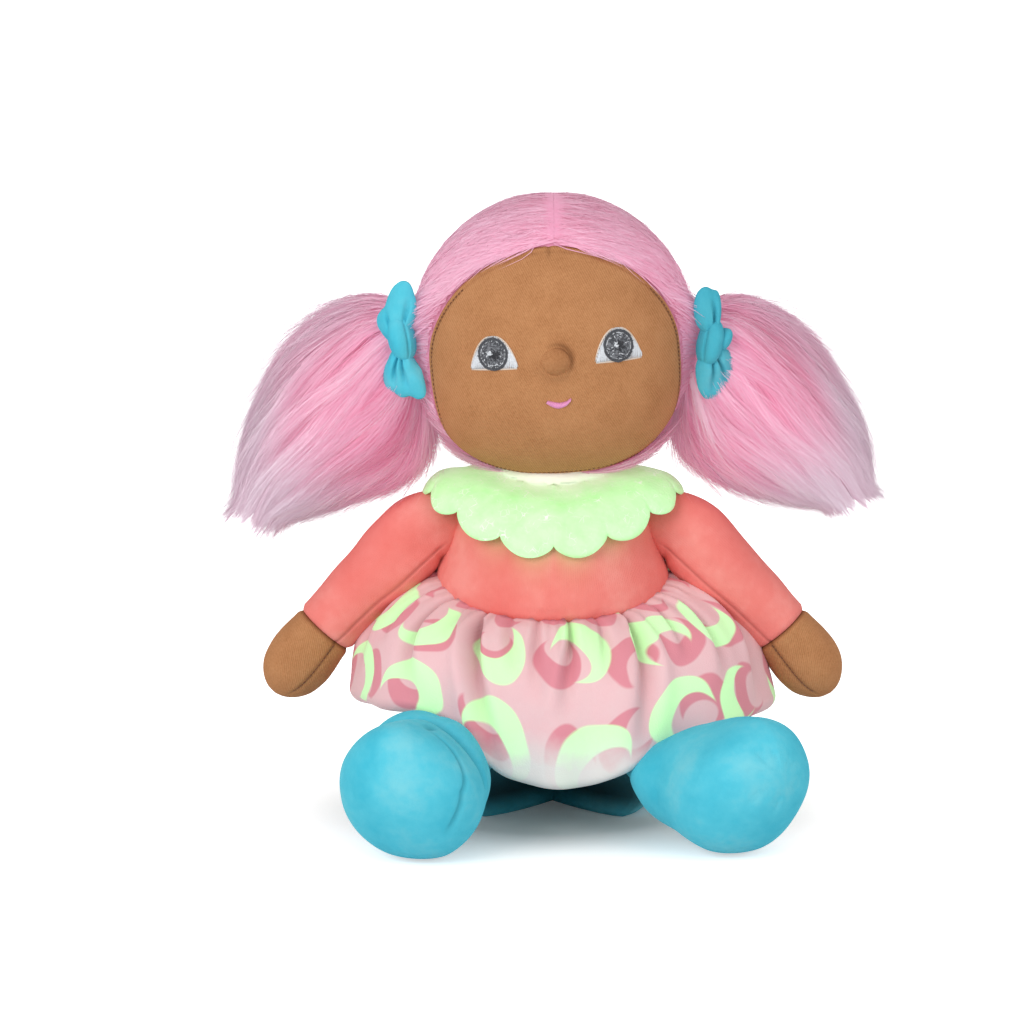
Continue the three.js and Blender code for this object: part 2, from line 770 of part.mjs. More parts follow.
function makeHead() {
  const group = new THREE.Group();
  group.position.copy(headCentre);
  const inside = headForm(-clothWall);
  const holeRadius = (neckRadius + swingGap) / Math.cos(Math.PI / torsoSides);
  const hole = new THREE.CylinderGeometry(holeRadius, holeRadius, 2 * (neckInsert + swingGap), torsoSides);
  hole.rotateX(Math.PI / 2);
  hole.translate(0, 0, -headHalfHeight);
  const neck = toSolid(hole);

  const face = headForm(0).subtract(inside).intersect(throughFace(faceOutline(0)));
  addPiece(group, "face_panel", face.subtract(neck), brownTwill);
  const besideFace = throughFace(faceOutline(seamGap));
  const fur = eggForm(hairPileSide, hairPile).subtract(inside).subtract(besideFace).subtract(neck);
  for (const { name, sign } of sides) {
    const out = new THREE.Vector3(sign, 0, 0);
    const half = halfSpace(out, out.clone().multiplyScalar(partingGap / 2));
    addPiece(group, `hair_panel_${name}`, fur.intersect(half), pinkFur);
  }
  addPiece(group, "head_stuffing", headForm(-clothWall - seamGap).subtract(neck), fibreFill);

  const overFace = headForm(seamGap);
  const nose = new THREE.SphereGeometry(noseRadius, limbSides, limbSides / 2);
  nose.translate(0, -headHalfDepth - noseStand, -faceDrop);
  addPiece(group, "nose", toSolid(nose).subtract(overFace), brownTwill);
  const thread = headForm(seamGap + threadHeight).subtract(overFace);
  for (const { name, sign } of sides) {
    const centre = (sign * eyeSpacing) / 2;
    const room = throughFace(irisOutline(centre, irisRadius + seamGap));
    const white = thread.intersect(throughFace(eyeOutline(centre))).subtract(room);
    addPiece(group, `eye_white_${name}`, white, whiteThread);
    const iris = thread.intersect(throughFace(irisOutline(centre, irisRadius)));
    addPiece(group, `eye_iris_${name}`, iris, greyThread);
  }
  addPiece(group, "mouth", thread.intersect(throughFace(mouthOutline())), pinkThread);
  return group;
}

// Pigtails and bows

const pigtailTip = new THREE.Vector2(pigtailTipOut, -pigtailTipDrop);
const pigtailOuterEdge = new THREE.SplineCurve([
  new THREE.Vector2(swingGap, pigtailRootRise),
  new THREE.Vector2(pigtailCrownOut, pigtailCrownRise),
  new THREE.Vector2(pigtailShoulderOut, pigtailShoulderRise),
  new THREE.Vector2(pigtailFlankOut, -pigtailFlankDrop),
  pigtailTip,
]);
const pigtailInnerEdge = new THREE.SplineCurve([
  new THREE.Vector2(swingGap, -pigtailRootDrop),
  new THREE.Vector2(-pigtailTuck, -pigtailTuckDrop),
  new THREE.Vector2(pigtailHeelOut, -pigtailHeelDrop),
  new THREE.Vector2(pigtailBellyOut, -pigtailBellyDrop),
  pigtailTip,
]);

// Half the pigtail's depth along it: it deepens from the root and thins out to the tip.
function pigtailDepth(along) {
  const deepening = smoothstep(along, 0, pigtailDeepestAt);
  const thinning = Math.max(along - pigtailDeepestAt, 0) / (1 - pigtailDeepestAt);
  return lerp(pigtailRootDepth, pigtailHalfDepth, deepening) * Math.sqrt(1 - thinning ** 2);
}

function pigtailForm(grow) {
  const rings = [];
  for (let j = 0; j < pigtailSteps; j++) {
    const along = j / pigtailSteps;
    const [outer, inner] = [pigtailOuterEdge.getPoint(along), pigtailInnerEdge.getPoint(along)];
    const middle = outer.clone().add(inner).divideScalar(2);
    const half = outer.sub(middle);
    half.setLength(half.length() + grow);
    const depth = pigtailDepth(along) + grow;
    const ring = [];
    for (let i = 0; i < limbSides; i++) {
      const turn = (2 * Math.PI * i) / limbSides;
      const place = middle.clone().addScaledVector(half, Math.cos(turn));
      ring.push(new THREE.Vector3(place.x, -depth * Math.sin(turn), place.y));
    }
    rings.push(ring);
  }
  return loftForm(rings, new THREE.Vector3(pigtailTip.x + grow, 0, pigtailTip.y - grow));
}

const bowLoopProfile = [
  new THREE.Vector2(0, 0),
  ...smoothLine(
    [
      [bowLoopNeck / 2, 0],
      [bowLoopWidth / 2, bowLoopWidest],
    ],
    rootSteps,
  ),
  ...roundEnd(bowLoopWidth / 2, bowLoopWidest, bowLoopLength - bowLoopWidest, rootSteps),
];

function bowKnotForm(grow) {
  const knot = new THREE.SphereGeometry(0.5, limbSides, limbSides / 2);
  knot.scale(bowKnotWidth + 2 * grow, bowLoopDepth + 2 * grow, bowKnotTall + 2 * grow);
  return toSolid(knot);
}

const pigtailRoot = (sign) =>
  new THREE.Vector3(sign * (headHalfWidth + hairPileSide), pigtailBack, headCentre.z - pigtailDrop);

function makePigtail({ name, sign }) {
  const group = new THREE.Group();
  group.position.copy(pigtailRoot(sign));
  group.rotation.z = sign > 0 ? 0 : Math.PI;
  addPiece(group, `pigtail_${name}`, toSolid(pigtailForm(0)), pinkFur);

  const bow = new THREE.Group();
  bow.position.set(bowOffset, -sign * bowFront, bowRise);
  const hair = pigtailForm(seamGap);
  hair.translate(-bow.position.x, -bow.position.y, -bow.position.z);
  const clear = halfSpace(new THREE.Vector3(1, 0, 0), new THREE.Vector3(swingGap - bowOffset, 0, 0));
  const free = clear.subtract(toSolid(hair));
  const knotRoom = bowKnotForm(seamGap);
  for (const { loop, up } of [{ loop: "upper", up: 1 }, { loop: "lower", up: -1 }]) {
    const form = latheForm(bowLoopProfile, limbSides, bowLoopDepth / bowLoopWidth);
    form.rotateX((up * Math.PI) / 2);
    addPiece(bow, `bow_${loop}_loop_${name}`, toSolid(form).subtract(knotRoom).intersect(free), bluePlush);
  }
  addPiece(bow, `bow_knot_${name}`, bowKnotForm(0).intersect(free), bluePlush);
  group.add(bow);
  return group;
}

const doll = new THREE.Group();
doll.add(makeTorso());
addPiece(doll, "skirt", thickRing(skirtPoint, skirtWall, skirtSteps), printedPlush);
addPiece(doll, "collar", thickRing(collarPoint, collarThickness, collarSteps), paleGreenPlush);
doll.add(makeHead());
for (const side of sides) {
  doll.add(makeLeg(side));
  doll.add(makeArm(side));
  doll.add(makePigtail(side));
}

export default doll;
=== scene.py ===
# The looks of a seated cloth doll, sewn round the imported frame
import json
import math

import bmesh
import bpy
import numpy as np
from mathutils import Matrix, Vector, noise


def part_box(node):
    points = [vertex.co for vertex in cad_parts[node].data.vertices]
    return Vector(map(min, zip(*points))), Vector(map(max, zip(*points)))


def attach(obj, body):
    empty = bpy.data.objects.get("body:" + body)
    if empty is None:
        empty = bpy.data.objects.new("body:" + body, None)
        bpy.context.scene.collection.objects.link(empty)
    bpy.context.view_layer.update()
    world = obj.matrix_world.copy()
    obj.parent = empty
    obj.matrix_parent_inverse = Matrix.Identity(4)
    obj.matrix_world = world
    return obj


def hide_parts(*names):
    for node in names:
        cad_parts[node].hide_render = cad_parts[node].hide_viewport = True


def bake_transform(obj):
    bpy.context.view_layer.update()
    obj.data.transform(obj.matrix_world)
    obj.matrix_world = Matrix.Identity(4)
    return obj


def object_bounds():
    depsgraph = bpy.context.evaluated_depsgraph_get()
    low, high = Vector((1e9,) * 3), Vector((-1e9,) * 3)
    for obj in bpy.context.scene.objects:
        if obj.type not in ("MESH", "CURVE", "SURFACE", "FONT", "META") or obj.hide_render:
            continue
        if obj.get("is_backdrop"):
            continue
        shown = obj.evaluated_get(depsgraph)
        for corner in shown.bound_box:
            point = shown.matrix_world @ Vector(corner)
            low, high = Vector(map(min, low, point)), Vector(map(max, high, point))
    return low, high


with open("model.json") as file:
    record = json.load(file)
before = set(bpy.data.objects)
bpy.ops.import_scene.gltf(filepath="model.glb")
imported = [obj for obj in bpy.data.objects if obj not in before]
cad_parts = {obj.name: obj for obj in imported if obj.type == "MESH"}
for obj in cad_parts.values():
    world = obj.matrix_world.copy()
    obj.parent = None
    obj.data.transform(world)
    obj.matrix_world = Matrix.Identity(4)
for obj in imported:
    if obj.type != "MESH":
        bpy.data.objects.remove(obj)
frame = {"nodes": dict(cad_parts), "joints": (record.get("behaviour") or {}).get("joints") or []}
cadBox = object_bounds()
scene = bpy.context.scene
mm = 0.001  # shapes are worked out in millimetres, meshes are in metres
upward = np.array([0, 0, 1.0])
sides = (("left", 1, "l"), ("right", -1, "r"))  # name, which way x runs, letter of its bodies
print("frame loaded:", len(frame["nodes"]), "nodes")


# small tools

def joint(name):
    return next(j for j in frame["joints"] if j["name"] == name)


def jointPlace(name):
    return np.array(joint(name)["pos_m"]) / mm


def smoothLine(points, count):  # a smooth line through a few points
    points = np.asarray(points, float)
    gaps = np.sqrt(np.linalg.norm(np.diff(points, axis=0), axis=1))
    knots = np.r_[0, np.cumsum(gaps)]
    slopes = np.gradient(points, knots, axis=0)
    at = np.linspace(0, knots[-1], count)
    i = np.clip(np.searchsorted(knots, at, side="right") - 1, 0, len(points) - 2)
    h = (knots[i + 1] - knots[i])[:, None]
    t = ((at - knots[i])[:, None]) / h
    return ((2 * t**3 - 3 * t**2 + 1) * points[i] + (t**3 - 2 * t**2 + t) * h * slopes[i]
            + (3 * t**2 - 2 * t**3) * points[i + 1] + (t**3 - t**2) * h * slopes[i + 1])


def ease(x, low, high):  # smooth step from 0 at low to 1 at high
    t = np.clip((np.asarray(x, float) - low) / (high - low), 0, 1)
    return t * t * (3 - 2 * t)


def dent(x, at, width):  # a soft bump of height 1
    return np.exp(-(((x - at) / width) ** 2))


def unit(v):
    return v / np.maximum(np.linalg.norm(v, axis=-1, keepdims=True), 1e-9)


def cloudy(points, size, seed):  # smooth noise from -1 to 1 over features of that size
    flat = np.asarray(points, float).reshape(-1, 3) / size + seed * 17.3
    values = [noise.noise(Vector(p)) for p in flat]
    return np.array(values).reshape(np.asarray(points).shape[:-1])


def fullTurn(count):  # even angles once round, as one row
    return np.linspace(0, 2 * math.pi, count, endpoint=False)[None]


def wrapTurn(turn):  # the angle wrapped to -pi..pi
    return (turn + math.pi) % (2 * math.pi) - math.pi


def mark(piece, name, values):  # a number for each point, which the materials read
    attribute = piece.data.attributes.new(name, "FLOAT", "POINT")
    attribute.data.foreach_set("value", np.asarray(values, np.float32).ravel())


def newObject(name, places, faces, material, uv=None, uvName="cloth", crease=None):
    mesh = bpy.data.meshes.new(name)
    mesh.from_pydata(np.asarray(places, float) * mm, [], faces)
    if uv is not None:
        layer = mesh.uv_layers.new(name=uvName)
        layer.data.foreach_set("uv", np.asarray(uv, np.float32).ravel())
    mesh.materials.append(material)
    mesh.shade_smooth()
    mesh.update()
    piece = bpy.data.objects.new(name, mesh)
    scene.collection.objects.link(piece)
    if crease is not None:
        mark(piece, "crease", crease)
    return piece


def gridPiece(name, grid, material, closed=True, caps=(False, False), crease=None, flip=False):
    # a grid of points, rows by columns, with cloth coordinates in metres
    rows, cols = grid.shape[:2]
    span = cols if closed else cols - 1
    r, c = np.meshgrid(np.arange(rows - 1), np.arange(span), indexing="ij")
    n = (c + 1) % cols
    quads = np.stack([r * cols + c, r * cols + n, (r + 1) * cols + n, (r + 1) * cols + c], -1)
    around = np.linalg.norm(np.diff(grid, axis=1), axis=2).sum(1).max() * mm
    along = np.r_[0, np.cumsum(np.linalg.norm(np.diff(grid, axis=0), axis=2).mean(1))] * mm
    u, v = around * c / span, along[r]
    uNext, vNext = around * (c + 1) / span, along[r + 1]
    uv = np.stack([np.stack(pair, -1) for pair in ((u, v), (uNext, v), (uNext, vNext), (u, vNext))], 2)
    places = grid.reshape(-1, 3)
    extra = [] if crease is None else list(np.asarray(crease, float).ravel())
    faces = quads.reshape(-1, 4).tolist()
    loops = uv.reshape(-1, 4, 2).tolist()
    for row, wanted in ((0, caps[0]), (rows - 1, caps[1])):
        if wanted:
            places = np.vstack([places, grid[row].mean(0)])
            middle = len(places) - 1
            extra.append(0 if crease is None else float(np.mean(np.asarray(crease)[row])))
            for i in range(span):
                a, b = row * cols + i, row * cols + (i + 1) % cols
                faces.append([a, middle, b] if row == 0 else [a, b, middle])
                loops.append([(around * i / span, float(along[row]))] * 3)
    if flip:
        faces, loops = ([corners[::-1] for corners in kind] for kind in (faces, loops))
    uvFlat = [corner for face in loops for corner in face]
    return newObject(name, places, faces, material, uvFlat, crease=None if crease is None else extra)


def tubePiece(name, paths, normals, radius, material, flat=0.8, pointed=True):
    # threads: paths and normals are (threads, steps, 3)
    paths, normals = np.asarray(paths, float), unit(np.asarray(normals, float))
    count, steps = paths.shape[:2]
    corners = 6  # of a thread's section
    across = unit(np.cross(unit(np.gradient(paths, axis=1)), normals))
    swell = np.ones(steps)
    if pointed:
        swell = np.sin(np.linspace(0.25, math.pi - 0.25, steps)) ** 0.5
    turn = fullTurn(corners)[0]
    wide = (radius * np.ones(count))[:, None, None, None] * swell[None, :, None, None]
    ring = (across[:, :, None] * np.cos(turn)[None, None, :, None]
            + normals[:, :, None] * np.sin(turn)[None, None, :, None] * flat)
    places = (paths[:, :, None] + ring * wide).reshape(-1, 3)
    t, s, k = np.meshgrid(np.arange(count), np.arange(steps - 1), np.arange(corners), indexing="ij")
    at = lambda step, corner: (t * steps + step) * corners + corner % corners
    quads = np.stack([at(s, k), at(s, k + 1), at(s + 1, k + 1), at(s + 1, k)], -1).reshape(-1, 4)
    ends = [[(i * steps + row) * corners + j for j in (range(corners)[::-1] if row == 0 else range(corners))]
            for i in range(count) for row in (0, steps - 1)]
    return newObject(name, places, quads.tolist() + ends, material)


def strandPiece(name, paths, across, normals, width, shade, fade, material):
    # fur: flat tapered strands; shade and fade place each strand on the colour map
    count, steps = paths.shape[:2]
    taper = (1 - np.linspace(0, 1, steps)) ** 0.6
    taper[0] = 0.6
    half = across * (width[:, None] * taper)[..., None] / 2
    left, right = paths - half, paths + half
    places = np.concatenate([left[:, :-1], right[:, :-1], paths[:, -1:]], 1)
    size = 2 * (steps - 1) + 1
    last = steps - 2
    base = (np.arange(count) * size)[:, None]
    s = np.arange(last)[None]
    quads = np.stack([base + s, base + steps - 1 + s, base + steps + s, base + s + 1], -1).reshape(-1, 4)
    tips = np.concatenate([base + last, base + 2 * steps - 3, base + size - 1], 1)
    column = 0.02 + 0.94 * np.clip(shade, 0, 1)
    low, high = column[:, None] + 0 * fade, column[:, None] + 0.02 + 0 * fade
    rise = 0.01 + 0.98 * np.clip(fade, 0, 1)
    corner = lambda u, i: np.stack([u[:, i], rise[:, i]], -1)
    quadUv = [np.stack([corner(low, i), corner(high, i), corner(high, i + 1), corner(low, i + 1)], 1)
              for i in range(last)]
    tip = np.stack([column + 0.01, rise[:, -1]], -1)
    tipUv = np.stack([corner(low, last), corner(high, last), tip], 1)
    uv = np.vstack([np.stack(quadUv, 1).reshape(-1, 2), tipUv.reshape(-1, 2)])
    piece = newObject(name, places.reshape(-1, 3), quads.tolist() + tips.tolist(), material, uv, "OFBake")
    shading = unit(np.concatenate([normals[:, :-1], normals[:, :-1], normals[:, -1:]], 1)).reshape(-1, 3)
    piece.data.normals_split_custom_set_from_vertices(shading.tolist())  # the pile is lit as a surface
    return piece


def weld(piece):  # joins points that lie on one another
    work = bmesh.new()
    work.from_mesh(piece.data)
    bmesh.ops.remove_doubles(work, verts=work.verts, dist=1e-6)
    work.to_mesh(piece.data)
    work.free()


fillSet = dict(pressure=60.0, frames=20, most=1.8, mass=0.15, tension=12.0, bending=0.6, quality=4,
               heldFrom=0.15, holdGain=2.5, aboveFloor=0.2)


def stuff(piece, around):  # cloth simulation: the filling swells the cloth between its seams, folds and ends
    mesh = piece.data
    count = len(mesh.vertices)
    before, after = np.empty(count * 3, np.float32), np.empty(count * 3, np.float32)
    held = np.empty(count, np.float32)
    mesh.vertices.foreach_get("co", before)
    mesh.attributes["crease"].data.foreach_get("value", held)
    held[:2 * around] = 1
    held[count - 2 - 2 * around:] = 1
    seams = piece.vertex_groups.new(name="seams")
    for i in np.flatnonzero(held > fillSet["heldFrom"]):
        seams.add([int(i)], float(min(1, fillSet["holdGain"] * held[i])), "REPLACE")
    cloth = piece.modifiers.new("filling", "CLOTH")
    settings = cloth.settings
    settings.quality, settings.mass = fillSet["quality"], fillSet["mass"]
    settings.tension_stiffness = settings.compression_stiffness = fillSet["tension"]
    settings.bending_stiffness = fillSet["bending"]
    settings.use_pressure, settings.uniform_pressure_force = True, fillSet["pressure"]
    settings.effector_weights.gravity = 0
    settings.vertex_group_mass = "seams"
    cloth.collision_settings.use_collision = False
    for number in range(1, fillSet["frames"] + 1):
        scene.frame_set(number)
    swollen = piece.evaluated_get(bpy.context.evaluated_depsgraph_get())
    swollen.data.vertices.foreach_get("co", after)
    scene.frame_set(1)
    piece.modifiers.remove(cloth)
    piece.vertex_groups.remove(seams)
    move = (after - before).reshape(-1, 3)
    far = np.linalg.norm(move, axis=1, keepdims=True)
    places = before.reshape(-1, 3) + move * np.minimum(1, fillSet["most"] * mm / np.maximum(far, 1e-9))
    places[:, 2] = np.maximum(places[:, 2], fillSet["aboveFloor"] * mm)
    mesh.vertices.foreach_set("co", places.ravel())
    mesh.update()
    print("stuffed", piece.name, "by up to", round(float(far.max()) / mm, 1), "mm before the limit")
    return piece


def standFor(piece, nodes):  # hides the solids that a piece stands for
    if nodes:
        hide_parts(*nodes)
    return piece


def wear(piece, body, slot, *nodes, fill=None):  # a piece that moves with one body
    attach(piece, body)
    return standFor(piece, nodes)


def sew(piece, bodyA, bodyB, start, end, slot, *nodes, fill=None):  # cloth across a seam between two bodies; it is fixed in place, on neither body
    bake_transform(piece)
    return standFor(piece, nodes)


# materials

def paint(r, g, b):  # a colour as it shows on screen, 0 to 255
    linear = lambda c: c / 12.92 if c <= 0.04045 else ((c + 0.055) / 1.055) ** 2.4
    return tuple(linear(c / 255) for c in (r, g, b)) + (1,)


def darker(colour, share):
    return tuple(c * share for c in colour[:3]) + (1,)


def feed(tree, socket, value):  # links an output, or sets a plain value
    if hasattr(value, "is_output"):
        tree.links.new(value, socket)
    else:
        socket.default_value = value


def addNode(tree, kind, **values):  # Capital names are sockets, others are settings
    node = tree.nodes.new("ShaderNode" + kind)
    for key, value in values.items():
        if key[0].isupper():
            feed(tree, node.inputs[key.replace("_", " ")], value)
        else:
            setattr(node, key, value)
    return node


def mathNode(tree, operation, *values):
    node = addNode(tree, "Math", operation=operation)
    for socket, value in zip(node.inputs, values):
        feed(tree, socket, value)
    return node.outputs[0]


def vectorNode(tree, operation, *values):
    node = addNode(tree, "VectorMath", operation=operation)
    for socket, value in zip(node.inputs, values):
        feed(tree, socket, value)
    return node.outputs["Value" if operation in ("DOT_PRODUCT", "DISTANCE", "LENGTH") else "Vector"]


def mixColour(tree, factor, a, b, blend="MIX"):
    node = addNode(tree, "Mix", data_type="RGBA", blend_type=blend)
    for place, value in ((0, factor), (6, a), (7, b)):
        feed(tree, node.inputs[place], value)
    return node.outputs[2]


def ramp(tree, factor, *stops):
    node = tree.nodes.new("ShaderNodeValToRGB")
    tree.links.new(factor, node.inputs[0])
    while len(node.color_ramp.elements) < len(stops):
        node.color_ramp.elements.new(0.5)
    for element, (place, colour) in zip(node.color_ramp.elements, stops):
        element.position = place
        element.color = colour
    return node.outputs[0]


def rangeNode(tree, value, low, high):  # 0 at low, 1 at high
    return addNode(tree, "MapRange", Value=value, From_Min=low, From_Max=high).outputs[0]


def placeOn(tree):  # where a point is, in metres
    return addNode(tree, "TexCoord").outputs["Object"]


def clothOn(tree):  # where a point is on the flat cloth, in metres
    return addNode(tree, "UVMap", uv_map="cloth").outputs[0]


def markOn(tree, name):
    return addNode(tree, "Attribute", attribute_name=name).outputs["Fac"]


def newMaterial(name, roughness, sheen=0.0, sheenRoughness=0.5, sheenTint=(1, 1, 1, 1), shine=0.2):
    material = bpy.data.materials.new(name)
    material.use_nodes = True
    tree = material.node_tree
    shader = tree.nodes["Principled BSDF"]
    for key, value in (("Roughness", roughness), ("Sheen Weight", sheen), ("Sheen Tint", sheenTint),
                       ("Sheen Roughness", sheenRoughness), ("Specular IOR Level", shine)):
        shader.inputs[key].default_value = value
    return material, tree, shader


def addPaintedGlow(tree, shader, colour, strength):  # painted light: the surface glows with its own colour, as if lit through the pile
    tree.links.new(colour, shader.inputs["Emission Color"])
    shader.inputs["Emission Strength"].default_value = strength


def addBump(tree, shader, height, strength, distance):
    bump = addNode(tree, "Bump", Height=height, Strength=strength, Distance=distance * mm)
    tree.links.new(bump.outputs[0], shader.inputs["Normal"])


def cloudNode(tree, vector, size, detail=2.0, roughness=0.5):  # noise with features of that size in mm
    values = dict(Vector=vector, Scale=1 / (size * mm), Detail=detail, Roughness=roughness)
    return addNode(tree, "TexNoise", **values).outputs[0]


def driftNode(tree, vector, size):  # a soft random shift of a place, three numbers
    return addNode(tree, "TexNoise", Vector=vector, Scale=1 / (size * mm), Detail=1.0).outputs[1]


def ridgeNode(tree, vector, direction, pitch):  # even ridges across a direction, pitch in mm
    scale = 2 * math.pi / (pitch * mm)
    phase = vectorNode(tree, "DOT_PRODUCT", vector, tuple(d * scale for d in direction))
    return mathNode(tree, "SINE", phase)


plushSet = {
    "coral": dict(deep=(233, 121, 113), base=(237, 132, 124), pale=(242, 150, 141), rib=0.9),
    "blue": dict(deep=(70, 188, 212), base=(88, 198, 219), pale=(118, 206, 221), rib=0),
}
# painted shade for folds, for the seat under the skirt and for one bow; painted light for the collar's glow
# on the bodice
plushShade = dict(creased=0.62, paintedShade=(30, 54, 61), paintedLight=(206, 196, 136))


def plushMaterial(name, deep, base, pale, rib):
    deep, base, pale = paint(*deep), paint(*base), paint(*pale)
    material, tree, shader = newMaterial(name, 0.9, sheen=0.35, sheenRoughness=0.35, sheenTint=pale,
                                         shine=0.1)
    place = placeOn(tree)
    patches = cloudNode(tree, place, 26, 3, 0.5)
    brushed = cloudNode(tree, place, 3.2, 2, 0.6)
    tone = mathNode(tree, "MULTIPLY_ADD", patches, 0.85, mathNode(tree, "MULTIPLY", brushed, 0.15))
    colour = ramp(tree, tone, (0.34, deep), (0.5, base), (0.66, pale))
    # darker seams, and painted shade in creases and folds
    colour = mixColour(tree, markOn(tree, "crease"), colour, darker(deep, plushShade["creased"]))
    for shade in ("paintedShade", "paintedLight"):  # deep shade under the skirt, pale light under the collar
        colour = mixColour(tree, markOn(tree, shade), colour, paint(*plushShade[shade]))
    tree.links.new(colour, shader.inputs["Base Color"])
    pile = cloudNode(tree, place, 0.55, 2, 0.6)
    height = mathNode(tree, "MULTIPLY_ADD", brushed, 0.8, pile)
    if rib:
        ribs = ridgeNode(tree, clothOn(tree), (1, 0, 0), rib)
        height = mathNode(tree, "MULTIPLY_ADD", ribs, 0.12, height)
    addBump(tree, shader, height, 0.35, 0.5)
    return material


twillSet = dict(deep=(150, 98, 60), base=(182, 127, 85), pale=(199, 146, 102), pitch=0.8,
                lean=(0.86, 0.5, 0), sway=0.7, creased=0.45)


def twillMaterial(deep, base, pale, pitch, lean, sway, creased):
    deep, base, pale = paint(*deep), paint(*base), paint(*pale)
    material, tree, shader = newMaterial("brownTwill", 0.88, sheen=0.18, sheenTint=pale, shine=0.12)
    place, cloth = placeOn(tree), clothOn(tree)
    woven = vectorNode(tree, "MULTIPLY_ADD", driftNode(tree, cloth, 9), (sway * mm, sway * mm, 0), cloth)
    lines = ridgeNode(tree, woven, lean, pitch)
    yarn = ridgeNode(tree, woven, (-lean[1], lean[0], 0), pitch * 0.7)
    flecks = cloudNode(tree, place, 0.9, 2, 0.7)
    patches = cloudNode(tree, place, 12, 3, 0.6)
    tone = mathNode(tree, "MULTIPLY_ADD", lines, 0.10, 0.5)
    tone = mathNode(tree, "ADD", tone, mathNode(tree, "MULTIPLY_ADD", flecks, 0.5, -0.25))
    tone = mathNode(tree, "ADD", tone, mathNode(tree, "MULTIPLY_ADD", patches, 0.4, -0.2))
    colour = ramp(tree, tone, (0.18, deep), (0.5, base), (0.85, pale))
    # darker seams and stitches, and painted shade in creases and round the nose
    colour = mixColour(tree, markOn(tree, "crease"), colour, darker(deep, creased))
    tree.links.new(colour, shader.inputs["Base Color"])
    height = mathNode(tree, "MULTIPLY_ADD", yarn, 0.3, mathNode(tree, "ADD", lines, flecks))
    addBump(tree, shader, height, 0.4, 0.12)
    return material


furSet = dict(pink=((226, 112, 152), (241, 172, 201), (248, 206, 223)),  # in the grooves, body, bright
              lilac=((206, 172, 190), (222, 199, 212), (238, 228, 236)), light=0.15)


def furMaterial(pink, lilac, light):
    material, tree, shader = newMaterial("pinkFur", 0.6, sheen=0.3, sheenRoughness=0.3, shine=0.25)
    spot = addNode(tree, "SeparateXYZ", Vector=addNode(tree, "UVMap", uv_map="OFBake").outputs[0]).outputs
    tones = [ramp(tree, spot["X"], *zip((0.0, 0.5, 1.0), (paint(*colour) for colour in family)))
             for family in (pink, lilac)]
    colour = mixColour(tree, spot["Y"], *tones)
    tree.links.new(colour, shader.inputs["Base Color"])
    # painted light: the fur glows a little, lifting its shade
    addPaintedGlow(tree, shader, colour, light)
    return material


def furSkinMaterial(pink):  # the knitted backing under the pile
    groove, body = paint(*pink[0]), paint(*pink[1])
    material, tree, shader = newMaterial("pinkFurBacking", 0.9, sheen=0.2)
    tone = cloudNode(tree, placeOn(tree), 1.6, 3, 0.6)
    pale = mixColour(tree, 0.55, groove, body)
    tree.links.new(mixColour(tree, tone, pale, body), shader.inputs["Base Color"])
    addBump(tree, shader, tone, 0.5, 0.8)
    return material


# glint is a painted highlight on the crackle print, chin a painted shade under the chin, light a painted glow
collarSet = dict(glow=(198, 249, 184), deep=(184, 245, 168), glint=(232, 252, 226), chin=(238, 232, 222),
                 light=0.2, crackleSize=2.6, crackleWidth=0.05)


def collarMaterial(glow, deep, glint, chin, light, crackleSize, crackleWidth):
    glow = paint(*glow)
    material, tree, shader = newMaterial("paleGreenPlush", 0.45, sheen=0.2, sheenTint=glow, shine=0.35)
    place = placeOn(tree)
    colour = ramp(tree, cloudNode(tree, place, 7, 3, 0.6), (0.3, paint(*deep)), (0.62, glow))
    # the crackle print, with painted highlights: pale glints where its shimmer would catch the light
    crackle = addNode(tree, "TexVoronoi", Vector=place, Scale=1 / (crackleSize * mm),
                      feature="DISTANCE_TO_EDGE").outputs[0]
    spread = rangeNode(tree, cloudNode(tree, place, 5, 2, 0.6), 0.52, 0.78)
    glints = mathNode(tree, "MULTIPLY", mathNode(tree, "LESS_THAN", crackle, crackleWidth), spread)
    colour = mixColour(tree, glints, colour, paint(*glint))
    # painted shade under the chin, as paler, greyer cloth
    colour = mixColour(tree, markOn(tree, "crease"), colour, paint(*chin))
    tree.links.new(colour, shader.inputs["Base Color"])
    # painted light: the collar glows
    addPaintedGlow(tree, shader, colour, light)
    height = mathNode(tree, "MULTIPLY_ADD", crackle, -1.2, cloudNode(tree, place, 1.2, 2, 0.6))
    addBump(tree, shader, height, 0.35, 0.4)
    return material


printSet = dict(pink=(238, 186, 191), rose=(225, 144, 156), white=(226, 224, 220), green=(206, 255, 190),
                light=0.14, wander=34, sway=13, paleBelow=(53, 38), paleAhead=(-20, -50),
                shadow=(0.5, 0.33, 0.34, 1),  # crescents: shift, spacing, size, share of the bite
                roseMoons=(0, 33, 12.4, 0.64), greenMoons=(137, 41, 15.2, 0.7))


